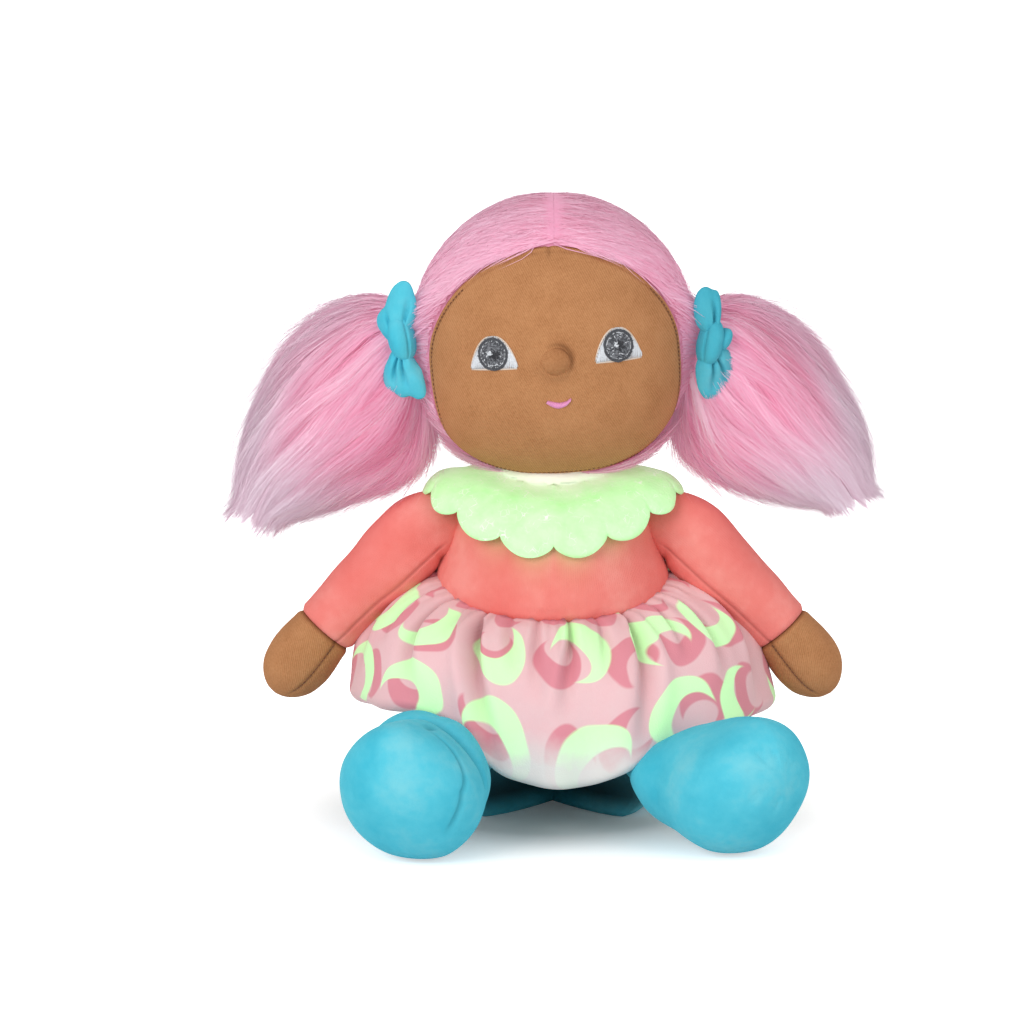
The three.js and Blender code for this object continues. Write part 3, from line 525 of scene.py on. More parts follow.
def printMaterial(pink, rose, white, green, light, wander, sway, paleBelow, paleAhead, shadow,
                  roseMoons, greenMoons):
    pink, rose, white, green = (paint(*colour) for colour in (pink, rose, white, green))
    material, tree, shader = newMaterial("printedPlush", 0.85, sheen=0.3, sheenRoughness=0.4, shine=0.12)
    place, cloth = placeOn(tree), clothOn(tree)

    def crescents(shift, spacing, size, bitten):  # one to a cell, each turned its own way
        moved = vectorNode(tree, "ADD", cloth, (shift * mm, shift * 0.7 * mm, 0))
        drift = driftNode(tree, moved, wander)
        bent = vectorNode(tree, "MULTIPLY_ADD", drift, (sway * mm, sway * mm, 0), moved)
        cell = addNode(tree, "TexVoronoi", voronoi_dimensions="2D", Vector=bent, Scale=1 / (spacing * mm),
                       Randomness=0.25).outputs
        flat = vectorNode(tree, "MULTIPLY", vectorNode(tree, "SUBTRACT", bent, cell["Position"]), (1, 1, 0))
        chance = addNode(tree, "SeparateXYZ", Vector=cell["Color"]).outputs["X"]
        spin = mathNode(tree, "MULTIPLY", chance, 2 * math.pi)
        turned = addNode(tree, "VectorRotate", rotation_type="Z_AXIS", Vector=flat, Angle=spin).outputs[0]

        def disc(x, radius):
            away = vectorNode(tree, "DISTANCE", turned, (x * mm, 0, 0))
            return rangeNode(tree, away, (radius + 0.5) * mm, (radius - 0.5) * mm)

        bite = mathNode(tree, "SUBTRACT", 1.0, disc(size * 0.52, size * bitten))
        return mathNode(tree, "MULTIPLY", disc(0, size), bite)

    patches = cloudNode(tree, place, 14, 3, 0.6)
    ground = mixColour(tree, mathNode(tree, "MULTIPLY", patches, 0.35), pink, white)
    colour = mixColour(tree, crescents(*roseMoons), ground, rose)
    lit = crescents(*greenMoons)
    spot = addNode(tree, "SeparateXYZ", Vector=place).outputs
    height = mathNode(tree, "MULTIPLY_ADD", patches, 16 * mm, spot["Z"])
    ahead = rangeNode(tree, spot["Y"], *(y * mm for y in paleAhead))
    paleLow = rangeNode(tree, height, *(z * mm for z in paleBelow))  # paler low on the front
    paleLow = mathNode(tree, "MULTIPLY", paleLow, mathNode(tree, "MULTIPLY", ahead, 0.9))
    colour = mixColour(tree, lit, colour, green)
    colour = mixColour(tree, paleLow, colour, white)
    shaded = mixColour(tree, 1.0, colour, shadow, "MULTIPLY")
    colour = mixColour(tree, markOn(tree, "crease"), colour, shaded)
    tree.links.new(colour, shader.inputs["Base Color"])
    glow = mathNode(tree, "MULTIPLY", lit, mathNode(tree, "SUBTRACT", 1.0, paleLow))
    # painted light: the green crescents glow
    addPaintedGlow(tree, shader, mixColour(tree, glow, (0, 0, 0, 1), green), light)
    addBump(tree, shader, cloudNode(tree, place, 0.6, 2, 0.6), 0.3, 0.4)
    return material


def threadMaterial(name, colour, gloss=0.45):
    material, tree, shader = newMaterial(name, gloss, sheen=0.15, shine=0.4)
    tone = cloudNode(tree, placeOn(tree), 0.35, 2, 0.6)
    base = paint(*colour)
    tree.links.new(ramp(tree, tone, (0.3, darker(base, 0.7)), (0.6, base)), shader.inputs["Base Color"])
    addBump(tree, shader, tone, 0.3, 0.08)
    return material


coralPlush = plushMaterial("coralPlush", **plushSet["coral"])
bluePlush = plushMaterial("bluePlush", **plushSet["blue"])
brownTwill = twillMaterial(**twillSet)
pinkFur = furMaterial(**furSet)
furBacking = furSkinMaterial(furSet["pink"])
paleGreenPlush = collarMaterial(**collarSet)
printedPlush = printMaterial(**printSet)
whiteThread = threadMaterial("whiteThread", (226, 229, 234))
creamThread = threadMaterial("creamThread", (228, 208, 190))
greyThread = threadMaterial("greyThread", (128, 130, 136))
darkThread = threadMaterial("darkThread", (62, 64, 70))
blackThread = threadMaterial("blackThread", (20, 21, 30))
pinkThread = threadMaterial("pinkThread", (232, 150, 198))
brownThread = threadMaterial("brownThread", (116, 68, 38), 0.6)
print("materials made:", len(bpy.data.materials))


# stage

cameraSet = dict(aim=(-16.4, 0, 120.4), distance=2000, elevation=9, frameWidth=409.6, sensor=36)
lampSet = dict(aim=(0, 0, 0.12), lamps=(  # in metres and watts
    ("keyLight", (-1.5, -2.1, 1.2), 1.5, 36), ("fillLight", (1.6, -1.8, 0.7), 1.7, 16),
    ("topLight", (0.1, 0.3, 2.2), 1.6, 3)))
roomSet = dict(ambient=0.55, floorHalf=12000, floorGrey=0.9, shadowFade=(0.05, 0.16))


def makeCamera(aim, distance, elevation, frameWidth, sensor):
    camera = bpy.data.objects.new("camera", bpy.data.cameras.new("camera"))
    scene.collection.objects.link(camera)
    tilt = math.radians(elevation)
    back = Vector((0, -math.cos(tilt), math.sin(tilt)))
    camera.location = Vector(aim) * mm + back * distance * mm
    camera.rotation_euler = (-back).to_track_quat("-Z", "Y").to_euler()
    camera.data.sensor_width = sensor
    camera.data.lens = sensor * distance / frameWidth
    camera.data.clip_end = 50
    scene.camera = camera


def makeLamps(aim, lamps):
    for name, place, size, watts in lamps:
        lamp = bpy.data.lights.new(name, "AREA")
        lamp.size = size
        lamp.energy = watts
        holder = bpy.data.objects.new(name, lamp)
        holder.location = place
        holder.rotation_euler = (Vector(aim) - Vector(place)).to_track_quat("-Z", "Y").to_euler()
        scene.collection.objects.link(holder)


def seenRays(tree):  # 1 for what the camera sees, also in gloss and glass
    path = addNode(tree, "LightPath").outputs
    other = mathNode(tree, "MAXIMUM", path["Is Glossy Ray"], path["Is Transmission Ray"])
    return mathNode(tree, "MAXIMUM", path["Is Camera Ray"], other)


def makeRoom(ambient, floorHalf, floorGrey, shadowFade):
    world = bpy.data.worlds.new("studio")
    world.use_nodes = True
    scene.world = world
    tree = world.node_tree
    sky = tree.nodes["Background"].inputs
    sky["Color"].default_value = (1, 1, 1, 1)
    tree.links.new(mathNode(tree, "MULTIPLY_ADD", seenRays(tree), 1 - ambient, ambient), sky["Strength"])

    corners = [(x * floorHalf, y * floorHalf, 0) for x, y in ((-1, -1), (1, -1), (1, 1), (-1, 1))]
    material, tree, shader = newMaterial("paleFloor", 0.9, shine=0.0)
    away = rangeNode(tree, vectorNode(tree, "LENGTH", placeOn(tree)), *shadowFade)
    shader.inputs["Base Color"].default_value = (floorGrey, floorGrey, floorGrey, 1)
    shader.inputs["Emission Color"].default_value = (1, 1, 1, 1)
    lift = mathNode(tree, "MULTIPLY", seenRays(tree), mathNode(tree, "MULTIPLY_ADD", away, 0.9, 0.04))
    tree.links.new(lift, shader.inputs["Emission Strength"])
    newObject("floor", corners, [[0, 1, 2, 3]], material)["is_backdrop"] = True


makeCamera(**cameraSet)
makeLamps(**lampSet)
makeRoom(**roomSet)
scene.view_settings.view_transform = "Standard"
print("stage set")


# torso: bodice and seat

torsoSet = dict(
    depth=0.88, slant=0.16, waist=90,
    outline=((0, 36), (7, 44), (26, 47), (60, 46.6), (90, 45.5), (108, 42), (125, 35.5), (136, 17),
             (147, 17)),  # height and half width
    bodiceTop=141, tuck=43, tuckShift=14, tuckTop=44,
)
torsoLine = smoothLine(torsoSet["outline"], 200)


def torsoRadius(height):
    return np.interp(height, torsoLine[:, 0], torsoLine[:, 1])


def waistHeight(y):
    return torsoSet["waist"] + torsoSet["slant"] * y


def barrelSpot(turn, height):  # a place on the torso for the noise
    return np.stack([np.sin(turn) + 0 * height, -np.cos(turn) + 0 * height, height / 40], -1)


capeSet = dict(thickness=2.6, scallops=14, scallopDepth=0.17, roundness=0.7, lift=1.2, neck=139.2, drop=31.7,
               shoulders=((22.6, 140.2), (32, 137.9), (45.3, 135), (52.0, 127.5)))


def capeAt(turn, share):  # the collar's middle surface, from the neck down
    chestZ = capeSet["neck"] - capeSet["drop"] * share
    chestOut = (torsoRadius(np.minimum(chestZ, 134)) + 2.2) * torsoSet["depth"] + capeSet["lift"] * share
    line = smoothLine(capeSet["shoulders"], 120)
    at = np.linspace(0, 1, 120)
    shoulderOut, shoulderZ = np.interp(share, at, line[:, 0]), np.interp(share, at, line[:, 1])
    ahead, across = -np.cos(turn), np.sin(turn)
    return np.stack([across * shoulderOut, ahead * chestOut, shoulderZ * across**2 + chestZ * ahead**2], -1)


def collarLobe(turn):  # 1 in the middle of a scallop, 0 between two
    return np.abs(np.sin(capeSet["scallops"] * turn / 2)) ** capeSet["roundness"]


def collarEdge(turn):  # how far down the scalloped edge reaches, 0 to 1
    return 1 - capeSet["scallopDepth"] * (1 - collarLobe(turn))


def makeBodice(rows=70, around=128):
    turn = fullTurn(around)
    share = (np.linspace(0, 1, rows) ** 1.15)[:, None]
    ahead = -np.cos(turn)
    low = waistHeight(40 * ahead) - 2.2
    height = low + (torsoSet["bodiceTop"] - low) * share
    above = height - low
    radius = torsoRadius(height) + 1.6 * dent(above, 9, 7) - 3.5 * (1 - ease(above, 0, 4))
    radius = radius + 0.5 * cloudy(barrelSpot(turn, height), 0.45, 3) * ease(above, 2, 14)
    grid = np.stack([np.sin(turn) * radius, ahead * radius * torsoSet["depth"], height], -1)
    crease = 0.8 * (1 - ease(above, 0, 3.2)) + 0 * turn
    piece = stuff(gridPiece("bodice", grid, coralPlush, caps=(True, True), crease=crease), around)
    # painted light: the collar's pale glow painted on the bodice just below its edge
    below = capeAt(turn, collarEdge(turn))[..., 2] - height
    paintedLight = 0.6 * np.exp(-np.clip(below, 0, 60) / 4.5)
    mark(piece, "paintedLight", np.r_[paintedLight.ravel(), 0, 0])
    return wear(piece, "torso", "coral_plush", "bodice_cover", "torso_stuffing", fill=0.8)


def makeSeat(rows=50, around=112):
    turn = fullTurn(around)
    ahead = -np.cos(turn)
    top = waistHeight(40 * ahead) - 1.5
    share = np.linspace(0, 1, rows)[:, None]
    height = top * share
    radius = torsoRadius(height) - 0.4 - 5 * ease(height, top - 9, top)
    radius = radius + 0.6 * cloudy(barrelSpot(turn, height), 0.4, 5) * ease(share, 0.05, 0.3)
    front = ease(np.cos(turn), 0.62, 0.9) * (1 - ease(height, 0, torsoSet["tuckTop"]))
    radius = radius - torsoSet["tuck"] * front  # tucked in under the front, between the hips
    deep = ahead * radius * torsoSet["depth"] + torsoSet["tuckShift"] * front
    grid = np.stack([np.sin(turn) * radius, deep, height + 0.2], -1)
    seamLine = dent(wrapTurn(turn), 0, 0.02) * ease(height, 2, 8)
    piece = gridPiece("seat", grid, bluePlush, caps=(True, True), crease=0.5 * seamLine + 0 * height)
    # painted shade on the seat's front, low down under the skirt
    paintedShadeShare = ease(np.cos(turn), 0.3, 0.75) * (1 - ease(height, 8, 44)) * (0.45 + 0.55 * ease(height, 0, 9))
    mark(piece, "paintedShade", np.r_[paintedShadeShare.ravel(), 1, 0])
    return wear(piece, "torso", "blue_plush", "seat_cover", "pellet_bag", fill=0.85)


makeBodice()
makeSeat()
print("torso made")


# skirt

skirtSet = dict(
    waist=43.0, sideRise=6.5, wall=1.4, puff=8.0, sidePuff=0.5, lift=5.5, hemRoll=4.5,
    folds=(  # angle at the waist and lower down, depth, length
        (-168, -165, 4.4, 0.9), (-147, -150, 5.0, 0.7), (-124, -121, 4.4, 0.9), (-104, -108, 5.0, 0.8),
        (-86, -80, 6.0, 0.9), (-71, -66, 5.0, 0.6), (-57, -46, 7.4, 1.0), (-46, -40, 4.0, 0.4),
        (-36, -16, 8.6, 1.15), (-22, -12, 4.4, 0.45), (-8, -5, 4.6, 0.6), (8, 3, 5.8, 0.7),
        (22, 18, 4.6, 0.5), (37, 26, 8.0, 1.0), (52, 47, 4.8, 0.55), (66, 58, 6.4, 0.8),
        (84, 76, 6.8, 1.0), (103, 106, 4.6, 0.7), (122, 119, 5.0, 0.8), (143, 147, 4.6, 0.7),
        (163, 160, 4.8, 0.8)),
    hem=(  # angle, reach, height
        (-225, 71, 33), (-180, 63, 19), (-135, 69, 33), (-90, 75, 49), (-63, 75.5, 52.5), (-42, 74, 53.5),
        (-31, 71, 47.5), (-23.4, 69, 38), (-15, 68.5, 30), (0, 66.5, 26), (12, 68, 27), (18, 70, 30),
        (26, 72, 35), (33, 72.5, 39), (43.5, 73.5, 42.6), (54, 77, 46), (68, 80, 46.5), (90, 83, 46),
        (135, 71, 33), (180, 63, 19), (225, 69, 33)),
)


def hemAt(turn):  # reach and height of the hem at an angle from straight ahead
    degrees = np.degrees(wrapTurn(turn))
    line = smoothLine(skirtSet["hem"], 600)
    return np.interp(degrees, line[:, 0], line[:, 1]), np.interp(degrees, line[:, 0], line[:, 2])


def skirtFolds(turn, along):  # how deep the pleats lie, and the ridge beside each
    groove, ridge = 0 * (turn + along), 0 * (turn + along)
    for angle, lower, depth, length in skirtSet["folds"]:
        drift = math.radians(angle) + math.radians(lower - angle) * along / length
        wide = 0.026 + 0.052 * along
        fade = np.clip(1 - along / length, 0, 1) ** 0.8 * (0.55 + 0.45 * ease(along, 0.0, 0.25))
        off = wrapTurn(turn - drift) / wide
        lap = 1 if angle % 2 else -1  # which way the pleat is laid
        groove += depth * fade * np.exp(-(off**2))
        ridge += 0.55 * depth * fade * np.exp(-(((off - 1.7 * lap) / 1.1) ** 2))
    return groove, ridge


def makeSkirt(rows=64, around=460):
    turn = np.linspace(-math.pi, math.pi, around, endpoint=False)[None]
    along = np.linspace(0, 1, rows)[:, None]
    sideways, ahead = np.sin(turn), -np.cos(turn)
    waistX, waistY = sideways * skirtSet["waist"], ahead * skirtSet["waist"] * torsoSet["depth"]
    waistZ = waistHeight(waistY) + 0.6 + skirtSet["sideRise"] * sideways**4
    reach, height = hemAt(turn)
    swell = np.sin(math.pi * along)
    out = (skirtSet["puff"] + skirtSet["sidePuff"] * sideways**2) * swell + 5.0 * ease(along, 0, 0.07)
    groove, ridge = skirtFolds(turn, along)
    pucker = np.cos(turn * 40 + 4 * np.sin(turn * 5) + 2 * np.sin(turn * 11))
    puckerEnd = 0.3 + 0.12 * np.sin(turn * 9)
    small = pucker * (1.0 + 0.5 * np.sin(turn * 7)) * np.clip(1 - along / puckerEnd, 0, 1)
    soft = 1.6 * np.cos(turn * 13 + 1.3 * np.sin(turn * 3)) * along
    out = out - groove + ridge + small + soft
    x = waistX + (sideways * reach - waistX) * along + sideways * out
    y = waistY + (ahead * reach - waistY) * along + ahead * out
    z = waistZ + (height - waistZ) * along + skirtSet["lift"] * swell - 0.25 * groove
    grid = np.stack([x, y, z], -1)
    roll = np.linspace(0, 1, 12)[1:, None]  # the hem turns under and up
    r = skirtSet["hemRoll"] + 2.5 * sideways**2
    inward, under = r * (1 - np.cos(math.pi * roll * 0.8)), r * np.sin(math.pi * roll * 0.8)
    turned = np.stack([x[-1] - sideways * inward, y[-1] - ahead * inward, z[-1] - under * 0.9], -1)
    rise = np.linspace(0, 9, 6)[1:, None]
    inner = np.stack([turned[-1, :, 0] - sideways * rise * 0.5, turned[-1, :, 1] - ahead * rise * 0.5,
                      turned[-1, :, 2] + rise], -1)
    grid = np.concatenate([grid, turned, inner])
    # painted shade in the pleats and the gathers at the waist
    crease = np.clip(groove / 6.0, 0, 1) ** 1.6 * 0.75 + 0.25 * np.clip(-small, 0, 1.5)
    crease = np.concatenate([np.clip(crease, 0, 0.95), np.zeros((len(turned) + len(inner), around))])
    crease[:2] = 0.8  # the waist seam
    grid[..., 2] = np.maximum(grid[..., 2], 0.4)
    piece = gridPiece("skirtCloth", grid, printedPlush, crease=crease, flip=True)
    thick = piece.modifiers.new("wall", "SOLIDIFY")
    thick.thickness = skirtSet["wall"] * mm
    thick.offset = -1
    wear(piece, "torso", "printed_plush", "skirt")
    return piece


makeSkirt()
print("skirt gathered")


# collar

def makeCollar(rows=30, around=448):
    turn = fullTurn(around)
    along = np.linspace(0, 1, rows)[:, None]
    share = along * collarEdge(turn)
    middle = capeAt(turn, share)
    nudge = 1e-3
    down = capeAt(turn, np.clip(share + nudge, 0, 1)) - capeAt(turn, np.clip(share - nudge, 0, 1))
    aside = capeAt(turn + nudge, share) - capeAt(turn - nudge, share)
    normal = unit(np.cross(down, aside))
    puff = 1 + 0.5 * collarLobe(turn) * dent(along, 0.86, 0.14)  # the scallops are a little fuller
    bulge = capeSet["thickness"] / 2 * puff * np.sqrt(np.clip(1 - ((along - 0.5) / 0.5) ** 8, 0, 1))
    wavy = 0.5 * cloudy(middle, 9, 2)
    top = middle + normal * (bulge + wavy)[..., None]
    under = middle - normal * (0.6 * bulge)[..., None]
    grid = np.concatenate([top, under[::-1]])
    # painted shade under the chin, as paler cloth
    chin = (1 - ease(along, 0.0, 0.42)) * np.clip(np.cos(turn), 0, 1)
    crease = np.concatenate([chin, chin[::-1]])
    piece = gridPiece("scallopedCollar", np.concatenate([grid, grid[:1]]), paleGreenPlush,
                      crease=np.concatenate([crease, crease[:1]]))
    weld(piece)
    wear(piece, "torso", "pale_green_plush", "collar")
    return piece


makeCollar()
print("collar laid")


# head: face, hair cap, nose, eyes and mouth

headSet = dict(half=(54.0, 48.0, 54.0), pile=1.6, roll=4.0, drop=6.8, chin=3.5, square=0.4)
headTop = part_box("hair_panel_left")[1][2] / mm
headMiddle = np.array([0, 0, headTop - headSet["pile"] - headSet["half"][2]])
eggHalf = np.array(headSet["half"])
rollTurn = math.radians(headSet["roll"])
faceSet = dict(wide=49.8, top=44.2, bottom=48.4, cheek=-0.7, stitchIn=2.8, stitchPitch=1.8, chinRow=3.2)


def bezier(a, b, c, d, count):
    t = np.linspace(0, 1, count, endpoint=False)[:, None]
    a, b, c, d = (np.array(p, float) for p in (a, b, c, d))
    return a * (1 - t) ** 3 + 3 * b * t * (1 - t) ** 2 + 3 * c * t**2 * (1 - t) + d * t**3


def faceOutline():
    w, top, bottom, cheek = faceSet["wide"], faceSet["top"], -faceSet["bottom"], faceSet["cheek"]
    lower = bezier((0, bottom), (w * 0.78, bottom), (w, bottom * 0.72), (w, cheek), 60)
    upper = bezier((w, cheek), (w, top * 0.56), (w * 0.5, top * 0.98), (0, top), 60)
    right = np.vstack([lower, upper, [(0, top)]])
    return np.vstack([right, (right * (-1, 1))[::-1][1:-1]])


def faceToHead(x, z):  # from the face's own plane, measured from the nose, to the head
    z = z - headSet["drop"]
    return x * math.cos(rollTurn) - z * math.sin(rollTurn), x * math.sin(rollTurn) + z * math.cos(rollTurn)


outlineFace = faceOutline()
outlineX, outlineZ = faceToHead(outlineFace[:, 0], outlineFace[:, 1])
outlineTurn = np.arctan2(outlineZ, outlineX)
outlineFar = np.hypot(outlineX, outlineZ)
order = np.argsort(outlineTurn)
outlineTurn, outlineFar = outlineTurn[order], outlineFar[order]


def outlineReach(turn):  # distance of the face's edge from the head's middle, seen from the front
    return np.interp(wrapTurn(turn), outlineTurn, outlineFar, period=2 * math.pi)


def headShape(z):  # below its middle the head is longer and squarer
    low = ease(-z, 0, 34)
    return 2 + headSet["square"] * low, eggHalf[2] + headSet["chin"] * low


def ontoHead(place):  # moves points in or out onto the head's surface, measured from its middle
    at = place
    for _ in range(4):
        power, tall = headShape(at[..., 2])
        x, y, z = (np.abs(place[..., i]) for i in range(3))
        size = ((x / eggHalf[0]) ** power + (y / eggHalf[1]) ** power + (z / tall) ** power) ** (1 / power)
        at = place / np.maximum(size, 1e-6)[..., None]
    return at


def headNormal(at):  # the way the head's surface faces
    power, tall = headShape(at[..., 2])
    half = np.stack([eggHalf[0] + 0 * tall, eggHalf[1] + 0 * tall, tall], -1)
    return unit(np.sign(at) * np.abs(at / half) ** (power[..., None] - 1) / half)


def onFront(x, z, stand=0.0):  # a point on the front of the head, standing off along the normal
    power, tall = headShape(z)
    inside = 1 - np.abs(x / eggHalf[0]) ** power - np.abs(z / tall) ** power
    y = -eggHalf[1] * np.clip(inside, 0.02, 1) ** (1 / power)
    place = np.stack([x + 0 * y, y, z + 0 * y], -1)
    normal = headNormal(place)
    return headMiddle + place + normal * np.asarray(stand)[..., None], normal


def eggPoint(turn, lean, grow=0.0):  # turn round the face's axis, lean away from straight ahead
    around = np.stack([np.sin(lean) * np.cos(turn), -np.cos(lean), np.sin(lean) * np.sin(turn)], -1)
    place = ontoHead(around * eggHalf)
    return headMiddle + place + headNormal(place) * np.asarray(grow)[..., None]


def leanToEdge(turn):  # how far the face's edge leans from straight ahead
    flat = np.asarray(turn).ravel()
    tries = np.linspace(0, math.pi / 2, 160)
    place = eggPoint(flat[:, None], tries[None] + 0 * flat[:, None]) - headMiddle
    far = np.hypot(place[..., 0], place[..., 2])
    reach = outlineReach(flat)
    return np.array([np.interp(r, f, tries) for r, f in zip(reach, far)]).reshape(np.shape(turn))


def makeFace(rings=90, around=360):
    turn = fullTurn(around)
    share = np.linspace(0.004, 1, rings)[:, None]
    lean = share * leanToEdge(turn)
    flat = eggPoint(turn, lean)
    step = np.linalg.norm(np.diff(flat, axis=0), axis=2)
    inFromEdge = np.concatenate([np.cumsum(step[::-1], 0)[::-1], np.zeros((1, around))])
    stitch = faceSet["stitchIn"]
    pull = 0.22 * np.cos(turn * 150) * dent(inFromEdge, stitch, 0.9)
    grow = 0.35 - 0.55 * dent(inFromEdge, stitch, 0.8) - 1.0 * (1 - ease(inFromEdge, 0, 1.6)) + pull
    top = wrapTurn(turn - math.pi / 2 - 0.06)
    pucker = dent(top, 0.0, 0.022) * (1 - ease(inFromEdge, 2, 9))
    grow = grow - 0.7 * pucker + 0.35 * cloudy(flat, 22, 4)
    nose = np.hypot(flat[..., 0] - noseAt[0], flat[..., 2] - noseAt[2])
    noseSide = np.clip(np.cos(np.arctan2(flat[..., 2] - noseAt[2], flat[..., 0] - noseAt[0]) - 0.65), 0, 1)
    grow = grow - 1.3 * noseSide * dent(nose, 6.6, 1.3) + 1.6 * (1 - noseSide) * dent(nose, 5.4, 2.2)
    under = 1 - 0.75 * ease(np.sin(turn), 0.3, 0.6)  # the hair hides the edge at the top
    # darker along the stitches and the edge; painted shade in the pucker at the top and on one side round the
    # nose
    crease = (0.35 * dent(inFromEdge, stitch, 0.5) + 0.3 * (1 - ease(inFromEdge, 0, 1.0))) * under
    crease = np.clip(crease + 0.4 * pucker + 0.6 * noseSide * dent(nose, 6.5, 0.7), 0, 1)
    grid = eggPoint(turn, lean, grow)
    piece = gridPiece("face", grid, brownTwill, caps=(True, False), crease=crease, flip=True)
    layer = piece.data.uv_layers["cloth"]  # the weave runs straight across the face
    corners = np.array([loop.vertex_index for loop in piece.data.loops])
    places = np.array([v.co for v in piece.data.vertices])
    layer.data.foreach_set("uv", places[corners][:, [0, 2]].astype(np.float32).ravel())
    return wear(piece, "head", "brown_twill", "face_panel", "head_stuffing", fill=0.95)


def sewTopstitch(name, inset, angles):  # a row of stitches along the face's edge
    edge = leanToEdge(angles)
    near = eggPoint(angles, edge)
    inner = eggPoint(angles, edge - 0.05)
    lean = edge - 0.05 * inset / np.linalg.norm(near - inner, axis=-1)
    line = eggPoint(angles, lean, 0.12)
    far = np.r_[0, np.cumsum(np.linalg.norm(np.diff(line, axis=0), axis=1))]
    pitch = faceSet["stitchPitch"]
    starts = np.arange(0, far[-1] - pitch, pitch)
    spots = starts[:, None] + np.linspace(0, pitch * 0.62, 5)[None]
    paths = np.stack([np.interp(spots, far, line[:, i]) for i in range(3)], -1)
    normals = headNormal(paths - headMiddle)
    paths = paths + normals * (0.12 * np.sin(np.linspace(0, math.pi, 5)))[None, :, None]
    return wear(tubePiece(name, paths, normals, 0.24, brownThread), "head", "brown_twill")


noseSet = dict(radius=6.0, sunk=0.4)


def makeNose(rings=24, around=48):
    turn = fullTurn(around)
    lean = np.linspace(0.02, 2.0, rings)[:, None]
    gathers = 0.06 * np.cos(turn * 9) * ease(lean, 1.1, 2.0)
    radius = noseSet["radius"] - 0.5 * np.abs(np.sin(turn)) * np.sin(lean) + gathers
    out = unit(noseNormal)
    sideways = unit(np.cross(out, upward))
    above = np.cross(sideways, out)
    ring = np.sin(lean)[..., None] * (np.cos(turn)[..., None] * sideways + np.sin(turn)[..., None] * above)
    grid = noseAt + radius[..., None] * (ring + (np.cos(lean) * 0.98)[..., None] * out) + 0.2 * out
    # painted shade on one side, where the ball meets the face
    crease = 0.75 * ease(lean, 1.1, 1.6) * np.clip(np.cos(turn - math.pi + 0.65), 0, 1)
    piece = gridPiece("nose_ball", grid, brownTwill, caps=(True, False), crease=crease)
    return wear(piece, "head", "brown_twill", "nose", fill=0.9)


noseX, noseZ = faceToHead(np.array(0.0), np.array(0.0))
noseAt, noseNormal = onFront(noseX, noseZ, -noseSet["sunk"])
makeFace()
sewTopstitch("faceTopstitch", faceSet["stitchIn"], np.linspace(-math.pi - 0.5, 0.5, 800))
sewTopstitch("chinTopstitch", faceSet["stitchIn"] + faceSet["chinRow"],
             np.linspace(-math.pi / 2 - 0.62, -math.pi / 2 + 0.62, 300))
makeNose()

eyeSet = dict(spacing=48.2, height=4.0, half=9.2, floor=-5.9, rise=12.8, tall=1.12, thread=0.42, iris=5.4,
              shift=0.4, seed=30)


def eyeTop(x):  # the arched upper edge of the white, which runs down to a point at each corner
    arch = np.clip(1 - np.abs(x / eyeSet["half"]) ** 2.1, 0, 1) ** 0.8
    return eyeSet["floor"] + 0.2 + eyeSet["rise"] * arch


def facePath(x, z, stand):  # places and normals of threads drawn on the face
    return onFront(*faceToHead(x, z), stand)


def stackPaths(made):
    return (np.stack(kind) for kind in zip(*made))


def eyeMiddle(sign):
    return sign * eyeSet["spacing"] / 2 + eyeSet["shift"], eyeSet["height"]


def sewEyeWhite(side, sign, rng):
    cx, cz = eyeMiddle(sign)
    pitch = eyeSet["thread"]
    across = np.arange(-8.7, 8.71, pitch)
    t = np.linspace(0, 1, 9)[None]
    top, low = eyeTop(across), np.full_like(across, eyeSet["floor"])
    z = low[:, None] + (np.maximum(top, low + 0.5) - low)[:, None] * t
    x = across[:, None] + 0.25 * np.sin(3 * t) + rng.normal(0, 0.05, (len(across), 1))
    dome = 0.45 + 0.35 * np.sin(math.pi * t) * np.ones_like(x)
    paths, normals = facePath(cx + x, cz + z, dome)
    white = tubePiece("eyeWhite_" + side, paths, normals, pitch * 0.72, whiteThread, flat=0.7)
    wear(white, "head", "white_thread", "eye_white_" + side)
    rim = []
    for a, b, shape in ((-8.8, 8.8, "floor"), (-9.15, -1.5, "top"), (1.5, 9.15, "top")):
        rx = np.linspace(a, b, 15)
        rz = np.full_like(rx, eyeSet["floor"] - 0.1) if shape == "floor" else eyeTop(rx)
        rim.append(facePath(cx + rx, cz + rz, np.full_like(rx, 0.45)))
    wear(tubePiece("eyeRim_" + side, *stackPaths(rim), 0.36, creamThread), "head", "white_thread")


